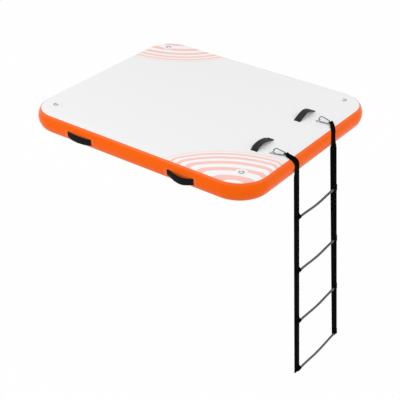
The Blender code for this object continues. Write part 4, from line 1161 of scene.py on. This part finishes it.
# %% Path of a strap over the edge
landing_angle, landing_step = math.radians(52), 0.001
leave_angle = math.atan(math.tan(ladder_lean) * (platform_height / 2) / edge_bulge)
eye_play, eye_straight, eye_closed, eye_half_width = 0.0026, 0.009, 0.018, 0.004
eye_slack = 0.0010
eye_radius = hook_wire_radius + eye_slack + strap_thickness / 2
untwist_length = 0.017
side_signs = {"left": -1, "right": 1}


def top_path(side):
    """Places, lengths along, start, heading and roll of one strap over the edge."""
    matrix = np.array(hook_matrix(side))
    heading, roll = matrix[:3, 0], matrix[:3, 1] * math.copysign(1, matrix[1, 1])
    reach = math.sqrt((hook_narrow_radius - hook_wire_radius) ** 2 - eye_half_width ** 2)
    tip = hook_length - hook_narrow_radius + eye_radius - strap_thickness / 2 + reach - eye_slack - eye_play
    start = matrix[:3, 3] + heading * tip
    bend = start + heading * eye_straight
    edge = edge_path(np.linspace(landing_angle, leave_angle, 36))
    slope = unit(edge_path([landing_angle - landing_step])[0] - edge[0])
    length = math.hypot(edge[0, 0] - bend[0], edge[0, 2] - bend[2])
    air = cubic(np.linspace(0, 1, 30)[:, None], bend, heading, edge[0], slope, length)
    places = np.concatenate([start[None], air, edge[1:]])
    along = run_length(places[:, [0, 2]])
    rest = along[-1] - eye_straight
    drift = heading[1] / math.hypot(heading[0], heading[2])
    sign = side_signs[side]
    share = np.maximum(along - eye_straight, 0) / rest
    places[:, 1] = cubic(share, bend[1], drift, strap_y(sign, 0), sign * math.tan(ladder_splay), rest)
    return places, along, start, heading, roll


def strap_frame(path, along):
    """Middle, direction, width direction and face direction at some lengths along a strap."""
    places, lengths, start, heading, roll = path

    def at(value):
        return np.stack([np.interp(value, lengths, places[:, k]) for k in range(3)], -1)

    straight = (along <= eye_straight)[:, None]
    centre = np.where(straight, start + heading * along[:, None], at(along))
    tangent = np.where(straight, heading, unit(at(along + strap_thickness) - at(along - strap_thickness)))
    share = ease((along - eye_straight) / untwist_length)[:, None]
    across = unit(roll * (1 - share) + np.array([0, 1.0, 0]) * share)
    return centre, tangent, across, unit(np.cross(tangent, across))


print("left strap over the edge, mm:", round(top_path("left")[1][-1] * 1000, 1))

# %% [markdown]
# ## The folded eye
# The strip starts under itself, runs back to the hook, turns round the wire, and comes forward on top.
# Each station needs one more angle, the way its face looks: it turns by half a turn round the eye.
# The width is read from a short table of lengths along the path, one row of shares for each strap.

# %% Make the straps over the edge
fold_length, slope_step = 0.022, 0.0003
fold_half_spread = strap_thickness / 2 + fit_gap / 2
fold_seam_places, fold_seam_share = (0.0185, 0.0208), 0.80
width_places = (0.0, 0.0075, 0.0105, 0.034, 0.056)
width_shares = {"left": (0.14, 0.15, 0.50, 0.86, 1.0), "right": (0.14, 0.15, 0.60, 1.0, 1.0)}


def top_half_width(side, along):
    """Half the strap's width at some lengths along the path."""
    return np.interp(along, width_places, width_shares[side]) * strap_width / 2


def layer_offsets(along):
    """Offsets of the upper and lower layer: as wide as the wire needs, then closing onto each other."""
    closing = ease((along - eye_straight) / (eye_closed - eye_straight))
    upper = eye_radius * (1 - closing)
    return upper, upper - 2 * (eye_radius + (fold_half_spread - eye_radius) * closing)


def top_strap_points(side):
    """Ribbon along the lower layer, round the eye, along the upper layer and on over the edge."""
    path = top_path(side)
    lower = np.linspace(fold_length, 0, 16)
    turn = np.linspace(0, np.pi, 16)[1:-1]
    upper = lower[::-1]
    rest = np.linspace(fold_length, path[1][-1], 70)[1:]
    lower_rise = layer_offsets(lower + slope_step)[1] - layer_offsets(lower)[1]
    upper_rise = layer_offsets(upper + slope_step)[0] - layer_offsets(upper)[0]
    lower_slope = np.pi + np.arctan2(lower_rise, slope_step)
    upper_slope = np.arctan2(upper_rise, slope_step)
    along = np.concatenate([lower, -eye_radius * np.sin(turn), upper, rest])
    offset = np.concatenate([
        layer_offsets(lower)[1], -eye_radius * np.cos(turn), layer_offsets(upper)[0], 0 * rest])
    slope = np.concatenate([lower_slope, np.pi - turn, upper_slope, 0 * rest])[:, None]
    centre, tangent, across, outward = strap_frame(path, along)
    face = unit(outward * np.cos(slope) - tangent * np.sin(slope))
    width = top_half_width(side, along)
    return ribbon(centre + outward * offset[:, None], across, face, width, strap_thickness / 2)


def fold_stitches(side):
    """Two short seams that hold the fold behind the hook."""
    path = top_path(side)
    rows = []
    normals = []
    for along in fold_seam_places:
        centre, tangent, across, outward = (value[0] for value in strap_frame(path, np.array([along])))
        half = top_half_width(side, along) * fold_seam_share
        place = centre + outward * (strap_thickness / 2)
        rows.append(stitch_row(place - across * half, place + across * half))
        normals.append(outward)
    return np.concatenate([stitch_points([row], normal) for row, normal in zip(rows, normals)])


for side in ("left", "right"):
    strap = f"{side}_top_strap"
    made = surface(f"{strap}_web", top_strap_points(side), strap_look)
    put(made, "platform", "black_webbing", strap)
    made = surface(f"{strap}_stitches", fold_stitches(side), dark_thread_look)
    put(made, "platform", "black_webbing", strap)
print("straps over the edge made")

# %% [markdown]
# ## Places on the ladder
# Below the edge the straps hang straight, a little away from the platform and a little apart at the foot.
# Everything on the ladder is placed by three numbers: the drop down the straps, the distance across, and
# the distance out of the ladder's plane. The ladder folds a little below each of its first three rungs.

# %% Places on the ladder
rung_count, rung_spacing, first_rung_drop = 4, 0.40, 0.372
hinge_below_rung, strap_tail = 0.028, 0.024
wall_x = platform_length / 2 - edge_bulge + edge_bulge * math.cos(leave_angle)
hang_start = np.array([
    wall_x + face_distance * math.cos(ladder_lean), 0,
    platform_height / 2 * (1 + math.sin(leave_angle)) + face_distance * math.sin(ladder_lean)])
hang_down = np.array([math.sin(ladder_lean), 0, -math.cos(ladder_lean)])
hang_out = np.array([math.cos(ladder_lean), 0, math.sin(ladder_lean)])
level_across = np.array([0, 1.0, 0])


def hang_places(drop, y, out=0.0):
    """Places on the ladder: down the straps by a drop, across by y, and out from the strap's middle."""
    drop, y, out = np.broadcast_arrays(np.asarray(drop, float), y, out)
    across_and_out = y[..., None] * level_across + out[..., None] * hang_out
    return hang_start + drop[..., None] * hang_down + across_and_out


def rung_drop(number):
    """Drop of a rung, counted from 0."""
    return first_rung_drop + number * rung_spacing


def hinge_drop(number):
    """Drop of the top of a section, counted from 0."""
    return rung_drop(number - 1) + hinge_below_rung if number else 0.0


print("the straps start to hang at z", round(float(hang_start[2]), 4))

# %% [markdown]
# ### The hanging straps
# A short length of webbing crosses the line where the ladder swings, and each line where it folds. It is made
# as a piece of its own, which is tied to neither of the bodies that it joins; the lengths between ride along
# with their sections.
# Webbing rarely hangs square. Each strap is turned a little about its own length, and a slope says how far:
# metres out of the ladder's plane per metre across. The inner edge is kept behind the rungs.

# %% Make the hanging straps
bend_before, bend_after = 0.002, 0.021
turn_start, turn_full = 0.020, 0.080
strap_turns = {"left": (9.0, 9.0), "right": (26.0, 14.0)}


def strap_slope(side, drop):
    """Slope of the turned strap: none on the wall, then from its upper to its lower angle."""
    upper, lower = (math.tan(math.radians(angle)) for angle in strap_turns[side])
    slope = upper + (lower - upper) * np.clip(drop / rung_drop(rung_count - 1), 0, 1)
    return slope * ease((drop - turn_start) / (turn_full - turn_start))


def strap_out(side, drop, offset):
    """Distance out for a place across the strap: slope times offset, less what the inner edge would gain."""
    slope = strap_slope(side, drop)
    return slope * offset - np.maximum(-side_signs[side] * slope, 0) * strap_width / 2


def hanging_strap(name, side, top, bottom, steps):
    """Straight ribbon between two drops; its weave runs on from the length above it."""
    drops = np.linspace(top, bottom, steps)
    slope = strap_slope(side, drops)[:, None]
    centre = hang_places(drops, strap_y(side_signs[side], drops), strap_out(side, drops, 0))
    across, outward = unit(level_across + slope * hang_out), unit(hang_out - slope * level_across)
    points = ribbon(centre, across, outward, strap_width / 2, strap_thickness / 2)
    return surface(name, points, strap_look, along=top)


def make_strap_section(side, number):
    """The bend at the top of one section, and the straight length below it."""
    body = f"ladder_section_{number + 1}"
    node = f"{side}_strap_{number + 1}"
    top = hinge_drop(number) - (bend_before if number else 0.0)
    below = hinge_drop(number) + bend_after
    last = number == rung_count - 1
    bottom = rung_drop(number) + strap_tail if last else hinge_drop(number + 1) - bend_before
    bend = hanging_strap(f"{side}_bend_{number + 1}", side, top, below, 14)
    y = strap_y(side_signs[side], hinge_drop(number))
    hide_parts(node)
    hang_places(top, y)
    hang_places(below, y)
    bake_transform(bend)
    straight = hanging_strap(f"{side}_length_{number + 1}", side, below, bottom, 30)
    put(straight, body, "black_webbing", node)


for side in ("left", "right"):
    for number in range(rung_count):
        make_strap_section(side, number)
print("hanging length of a strap, m:", round(rung_drop(rung_count - 1) + strap_tail, 3))

# %% [markdown]
# ## Rungs and their loops
# A rung is a plastic tube that sags a little between the straps. A tent of webbing, sewn to the strap above
# and below, holds each end. Seen from the side the tent has two feet, and two slopes that just touch the
# circle round the tube. These two helpers give the rung's tube and the middle line of the tent.

# %% Shape of a rung and its tent
rung_diameter, rung_wall, rung_sag, rung_end_inset = 0.016, 0.002, 0.010, 0.025
rung_loop_thickness, loop_foot_start, loop_foot_end = 0.002, 0.019, 0.024
rung_out = strap_thickness / 2 + fit_gap + rung_diameter / 2
foot_out = strap_thickness / 2 - sewn_depth + rung_loop_thickness / 2


def rung_points(number):
    """Tube whose middle sags as half a cosine wave: outside one way, inside back."""
    drop = rung_drop(number)
    inner_half = ladder_half_width + math.tan(ladder_splay) * drop - strap_width / 2
    end_half = inner_half + strap_width - rung_end_inset
    y = np.linspace(-end_half, end_half, 60)
    sag = rung_sag * (1 + np.cos(np.pi * np.minimum(np.abs(y) / inner_half, 1))) / 2
    path = hang_places(drop + sag, ladder_centre_y + y, rung_out)
    outer = tube(path, rung_diameter / 2, 20, hang_out)
    inner = tube(path, rung_diameter / 2 - rung_wall, 20, hang_out)
    return np.concatenate([outer, inner[::-1]])


def tent_stations():
    """Lengths down the strap, distances out and facing angles along the middle of the tent's webbing."""
    radius = rung_diameter / 2 + fit_gap + rung_loop_thickness / 2
    rise = rung_out - foot_out
    touch = math.acos(radius / math.hypot(loop_foot_start, rise)) - math.atan2(rise, loop_foot_start)
    angle = np.linspace(np.pi - touch, touch, 20)
    feet_down = np.array([loop_foot_end, (loop_foot_end + loop_foot_start) / 2, loop_foot_start])
    down = np.r_[-feet_down, radius * np.cos(angle), feet_down[::-1]]
    out = np.r_[np.full(3, foot_out), rung_out + radius * np.sin(angle), np.full(3, foot_out)]
    return down, out, np.r_[np.full(3, np.pi / 2), angle, np.full(3, np.pi / 2)]


print("tent over a rung, mm out:", round(float(tent_stations()[1].max()) * 1000, 1))

# %% [markdown]
# ### Loops pressed flat past the rung
# The rung ends before the outer edge of the webbing does. Past the rung's end the tent falls flat onto the
# strap: a fall of 1 keeps the tent's full height, and a fall of 0 leaves only the foot's. The lower a place
# lies, the more it follows the turn of the strap, so that the feet lie on it and the top stays with the rung.

# %% Make the rungs and loops
loop_fall_start, loop_follow_power = 0.005, 4
loop_seam_drops, loop_seam_half_width = (-0.0230, -0.0203, 0.0203, 0.0230), 0.0225


def rung_loop_points(number, side):
    """Ribbon over the tent. Past the rung's end its height over the feet falls away to nothing.
    The feet follow the turned strap, and the top stays with the rung."""
    down, out, facing = tent_stations()
    share, round_across, round_out = ribbon_section(24)
    half, thick = strap_width / 2 - fit_gap, rung_loop_thickness / 2
    sideways = share * (half - thick) + round_across * thick
    fall = 1 - ease((sideways - loop_fall_start) / (half - loop_fall_start))
    layer = (round_out * thick)[None]
    down_there = down[:, None] + np.cos(facing)[:, None] * layer
    rise = out[:, None] + np.sin(facing)[:, None] * layer - foot_out - layer
    drop = rung_drop(number) + down_there
    offset = side_signs[side] * sideways
    follow = (1 - np.clip(fall * rise / rise.max(), 0, 1)) ** loop_follow_power
    out_there = foot_out + layer + fall * rise + follow * strap_out(side, drop, offset)
    return hang_places(drop, strap_y(side_signs[side], drop) + offset, out_there)


def loop_stitches(number, side):
    """Two seams across each foot of the tent."""
    rows = []
    sign = side_signs[side]
    for down in loop_seam_drops:
        drop = rung_drop(number) + down
        middle = strap_y(sign, drop)
        offset = np.array([-loop_seam_half_width, loop_seam_half_width])
        out = foot_out + rung_loop_thickness / 2 + strap_out(side, drop, offset)
        ends = hang_places(drop, middle + offset, out)
        rows.append(stitch_row(ends[0], ends[1]))
    return stitch_points(rows, hang_out)


for number in range(rung_count):
    body = f"ladder_section_{number + 1}"
    rung = surface(f"rung_{number + 1}_tube", rung_points(number), rung_look, closed_rows=True)
    put(rung, body, "rung_plastic", f"rung_{number + 1}")
    for side in ("left", "right"):
        node = f"{side}_strap_{number + 1}"
        name = f"{side}_rung_loop_{number + 1}"
        put(surface(name, rung_loop_points(number, side), strap_look), body, "black_webbing", node)
        seams = surface(f"{name}_stitches", loop_stitches(number, side), dark_thread_look)
        put(seams, body, "black_webbing", node)
lowest_rung = hang_places(rung_drop(rung_count - 1), 0.0)
print("rungs:", rung_count, "lowest at z", round(float(lowest_rung[2]), 3))

# %% [markdown]
# ## Patches with round corners
# Handles are sewn to patches, and the patches are glued down. A patch is the plan of the platform in small:
# a rectangle pushed out by a corner radius. It is worked out flat first, and then laid on the deck,
# or bent onto the bulging wall, by taking its flat places through the surface it lies on.

# %% Flat grid of a patch
patch_corner = 0.012


def plate_grid(half_u, half_v, radius, thickness):
    """Flat places and depth of a rounded plate. The rows run from the back's middle to its rim,
    over the rounded edge, and from the front's rim to its middle."""
    turn = np.linspace(0, np.pi / 2, 7)
    corner = np.array([[1, 1], [-1, 1], [-1, -1], [1, -1]]) * np.array([half_u - radius, half_v - radius])
    feet_u, feet_v, angles = [], [], []
    for quarter in range(4):
        after = corner[(quarter + 1) % 4]
        slide = np.linspace(0, 1, 10)[1:-1, None]
        side_feet = corner[quarter] + (after - corner[quarter]) * slide
        feet_u += [np.full(7, corner[quarter, 0]), side_feet[:, 0]]
        feet_v += [np.full(7, corner[quarter, 1]), side_feet[:, 1]]
        angles += [quarter * np.pi / 2 + turn, np.full(8, (quarter + 1) * np.pi / 2)]
    feet_u, feet_v, angles = np.concatenate(feet_u), np.concatenate(feet_v), np.concatenate(angles)
    roll = np.linspace(-np.pi / 2, np.pi / 2, 5)
    reach = radius - thickness / 2 * (1 - np.cos(roll))[:, None]
    rim_u, rim_v = feet_u + reach * np.cos(angles), feet_v + reach * np.sin(angles)
    rim_depth = np.repeat((thickness / 2 * (1 + np.sin(roll)))[:, None], len(angles), 1)
    share = np.linspace(first_outline_share, 1, flat_rows, endpoint=False)[:, None]
    u = np.concatenate([rim_u[:1] * share, rim_u, rim_u[-1:] * share[::-1]])
    v = np.concatenate([rim_v[:1] * share, rim_v, rim_v[-1:] * share[::-1]])
    depth = np.concatenate([0 * share + rim_depth[:1], rim_depth, 0 * share + rim_depth[-1:]])
    return u, v, depth


print("patch grid:", plate_grid(0.1, 0.05, patch_corner, patch_thickness)[0].shape)

# %% [markdown]
# ## Deck handles
# A deck handle is a stiff strip of ribbed webbing that arches up between two sewn feet.
# Its two flanks fall from the top, each as a hyperbola: round at the top, and nearly straight below.
# The top may stand off the middle, because a strip that has been pulled is never quite even.

# %% Make the deck handles
handle_width, handle_thickness, handle_foot = 0.050, 0.0025, 0.014
deck_handle_x, deck_handle_y = 0.668, 0.250
deck_handle_half_length = 0.085
deck_handle_rises = {"left": 0.0245, "right": 0.0295}
deck_handle_arches = {"left": (0.42, 0.6, (0.42, 0.62)), "right": (0.57, 0.3, (0.85, 0.5))}
handle_patch_margin = 0.012
foot_seam_share, foot_seam_half_long, foot_seam_half_wide = 0.55, 0.0045, 0.0215


def handle_run(half_length, top, bend, fullness, steps=44):
    """Lengths along a handle and the share of its rise there, feet included. Each flank falls from the top
    as a hyperbola, which a small bend makes straight; a fullness below 1 makes that flank stand steeper.
    At the end each share is averaged a little with its neighbours."""
    place = np.linspace(0, 1, steps)
    away = np.where(place < top, (top - place) / top, (place - top) / (1 - top))
    fall = (np.hypot(away, bend) - bend) / (math.hypot(1, bend) - bend)
    foot = handle_foot * np.array([1, 0.66, 0.33])
    along = np.r_[-half_length - foot, half_length * (2 * place - 1), half_length + foot[::-1]]
    share = np.r_[0 * foot, np.clip(1 - fall, 0, 1) ** np.where(place < top, *fullness), 0 * foot]
    return along, np.convolve(np.pad(share, 1, mode="edge"), [0.25, 0.5, 0.25], mode="valid")


def deck_handle_points(side):
    """Ribbon along an arch that stands on its patch."""
    along, share = handle_run(deck_handle_half_length, *deck_handle_arches[side])
    base = patch_top + fit_gap + handle_thickness / 2
    y = side_signs[side] * deck_handle_y + along
    path = np.stack([0 * y + deck_handle_x, y, base + deck_handle_rises[side] * share], 1)
    outward = unit(np.cross([1.0, 0, 0], directions(path)))
    return ribbon(path, (1.0, 0, 0), outward, handle_width / 2, handle_thickness / 2)


def make_deck_handle(side):
    """One handle with its patch, and a rectangle of stitches on each foot."""
    y = side_signs[side] * deck_handle_y
    strip = surface(f"{side}_deck_strip", deck_handle_points(side), handle_look)
    put(strip, "platform", "handle_webbing", f"{side}_deck_handle")
    half_v = deck_handle_half_length + handle_foot + handle_patch_margin
    u, v, depth = plate_grid(handle_width / 2 + handle_patch_margin, half_v, patch_corner, patch_thickness)
    points = np.stack([deck_handle_x + u, y + v, platform_height + fit_gap + depth], -1)
    patch = f"{side}_deck_handle_patch"
    put(surface(f"{patch}_sheet", points, patch_look), "platform", "deck_sheet", patch)
    rows = []
    height = patch_top + fit_gap + handle_thickness
    for way in (-1, 1):
        foot_y = y + way * (deck_handle_half_length + handle_foot * foot_seam_share)
        middle = (deck_handle_x, foot_y, height)
        rows += box_seam(middle, (0, 1, 0), (1, 0, 0), foot_seam_half_long, foot_seam_half_wide)
    seams = surface(f"{side}_deck_handle_stitches", stitch_points(rows, (0, 0, 1)), dark_thread_look)
    put(seams, "platform", "handle_webbing", f"{side}_deck_handle")


for side in ("left", "right"):
    make_deck_handle(side)
print("deck handles stand", [round(v * 1000, 1) for v in deck_handle_rises.values()], "mm high")

# %% [markdown]
# ## Side handles
# A softer strip is used to carry the platform by its long sides. It follows the bulge of the wall at both
# feet and bows outwards between them, and there its own weight may pull it down a little. Its lower edge
# bows out further than its upper edge, so the strip leans.
# Every place on the wall has one formula: go up by height, find the angle of the ellipse, and step out.

# %% Shape of a side handle
side_handle_x, side_handle_height = 0.414, 0.066
side_handle_width, side_handle_half_length = 0.044, 0.088
side_handle_bows = {"back": 0.016, "front": 0.026}
side_handle_leans = {"back": 0.35, "front": 0.22}
side_handle_sags = {"back": 0.0, "front": 0.005}
side_handle_arches = {"back": (0.5, 1.0, (0.5, 0.5)), "front": (0.62, 1.0, (1.0, 0.85))}


def wall_place(x, height, depth, side_y):
    """Place on a long side: x, then the ellipse's reach at that height less a depth, then the height.
    The height is the one on the face itself, so that a stack of layers keeps its lines together."""
    angle = np.arcsin(np.clip(np.asarray(height, float) / (platform_height / 2) - 1, -1, 1))
    reach = platform_width / 2 - edge_bulge + (edge_bulge - depth) * np.cos(angle)
    up = platform_height / 2 + (platform_height / 2 - depth) * np.sin(angle)
    x, reach, up = np.broadcast_arrays(x, side_y * reach, up)
    return np.stack([x, reach, up], -1)


def side_handle_points(x, side_y, end):
    """Strip bent to the wall: rows along it, columns up its face, over its edge and down its back."""
    along, share = handle_run(side_handle_half_length, *side_handle_arches[end])
    half = side_handle_width / 2
    up = np.linspace(-half, half, 13)
    inner = -2 * fit_gap - patch_thickness
    roll = np.linspace(-np.pi / 2, np.pi / 2, 5)[1:-1]
    height = side_handle_height + np.r_[up, half + 0 * roll, up[::-1], -half + 0 * roll]
    outer_depth = inner - handle_thickness
    middle_depth = inner - handle_thickness / 2
    depth = np.r_[np.full(13, inner), middle_depth - handle_thickness / 2 * np.sin(roll),
                  np.full(13, outer_depth), middle_depth + handle_thickness / 2 * np.sin(roll)]
    points = wall_place((x + along)[:, None], height[None], depth[None], side_y)
    lean = 1 - side_handle_leans[end] * (height - side_handle_height) / half
    points[..., 1] += side_y * side_handle_bows[end] * share[:, None] * lean[None]
    points[..., 2] -= side_handle_sags[end] * share[:, None]
    return points


print("side handle's height on the wall, mm:", round(side_handle_height * 1000))

# %% [markdown]
# ### Patches and seams on the wall
# The patch is the flat grid again, taken through the same formula, so that it hugs the bulge. The seams are
# short upright columns of stitches joined by two level rows, and they too are laid out by the formula.

# %% Make the side handles
side_patch_reach, side_patch_half_height = 0.040, 0.029
wall_seam_half_height, wall_seam_stitches, wall_stitch_share = 0.017, 10, 0.75
wall_seam_near, wall_seam_far = 0.0035, 0.0115


def wall_stitches(x, side_y):
    """Seams on both feet of a side handle, bent to the wall."""
    depth = -2 * fit_gap - patch_thickness - handle_thickness
    made = []
    heights = np.linspace(-wall_seam_half_height, wall_seam_half_height, wall_seam_stitches + 1)
    heights = heights + side_handle_height
    for way in (-1, 1):
        near = x + way * (side_handle_half_length + wall_seam_near)
        far = x + way * (side_handle_half_length + wall_seam_far)
        for column in (near, far):
            places = wall_place(column, heights, depth, side_y)
            rows = [(places[:-1], places[:-1] + (places[1:] - places[:-1]) * wall_stitch_share)]
            made.append(stitch_points(rows, (0, side_y, 0)))
        for height in (heights[0], heights[-1]):
            ends = wall_place(np.array([near, far]), height, depth, side_y)
            made.append(stitch_points([stitch_row(ends[0], ends[1])], (0, side_y, 0)))
    return np.concatenate(made)


def make_side_handle(side, end, x):
    """One handle with its patch and seams."""
    side_y = side_signs[side]
    node = f"{side}_{end}_handle"
    strip = surface(f"{node}_strip", side_handle_points(x, side_y, end), grip_look)
    put(strip, "platform", "black_webbing", node)
    reach = side_handle_half_length + side_patch_reach
    u, v, depth = plate_grid(reach, side_patch_half_height, patch_corner, patch_thickness)
    points = wall_place(x + u, side_handle_height + v, -fit_gap - depth, side_y)
    patch = surface(f"{node}_patch_sheet", points, tape_look)
    put(patch, "platform", "orange_sheet", f"{node}_patch")
    seams = surface(f"{node}_stitches", wall_stitches(x, side_y), dark_thread_look)
    put(seams, "platform", "black_webbing", node)


for side in ("left", "right"):
    for end, way in (("back", -1), ("front", 1)):
        make_side_handle(side, end, way * side_handle_x)
print("side handles bow out", [round(v * 1000, 1) for v in side_handle_bows.values()], "mm")

# %% [markdown]
# ## Inside, and the valve
# Rows of thread hold the two skins level, and the valve sits in the end wall away from the ladder.
# Their shapes are already fine in the solids, so finished copies are enough. The stem's spring is the one
# part that changes length, since it flattens towards the guide as the stem is pushed in; here its copy only
# gets a mesh of its own.

# %% Finish the threads and the valve
valve_bevel = 0.0003
finished_copy("drop_stitch_threads", drop_thread_look, "platform", "thread")
finished_copy("valve_body", valve_look, "platform", "valve_plastic", bevel=valve_bevel)
finished_copy("valve_gasket", rubber_look, "platform", "seal_rubber")
finished_copy("valve_nut", valve_look, "platform", "valve_plastic")
finished_copy("valve_guide", valve_look, "platform", "valve_plastic")
finished_copy("valve_stem", valve_look, "valve_stem", "valve_plastic")
finished_copy("valve_cap", cap_look, "valve_cap", "cap_plastic", bevel=valve_bevel)
finished_copy("valve_cap_seal", rubber_look, "valve_cap", "seal_rubber")
spring = finished_copy("valve_spring", steel_look, "platform", "stainless_steel")
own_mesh(spring)
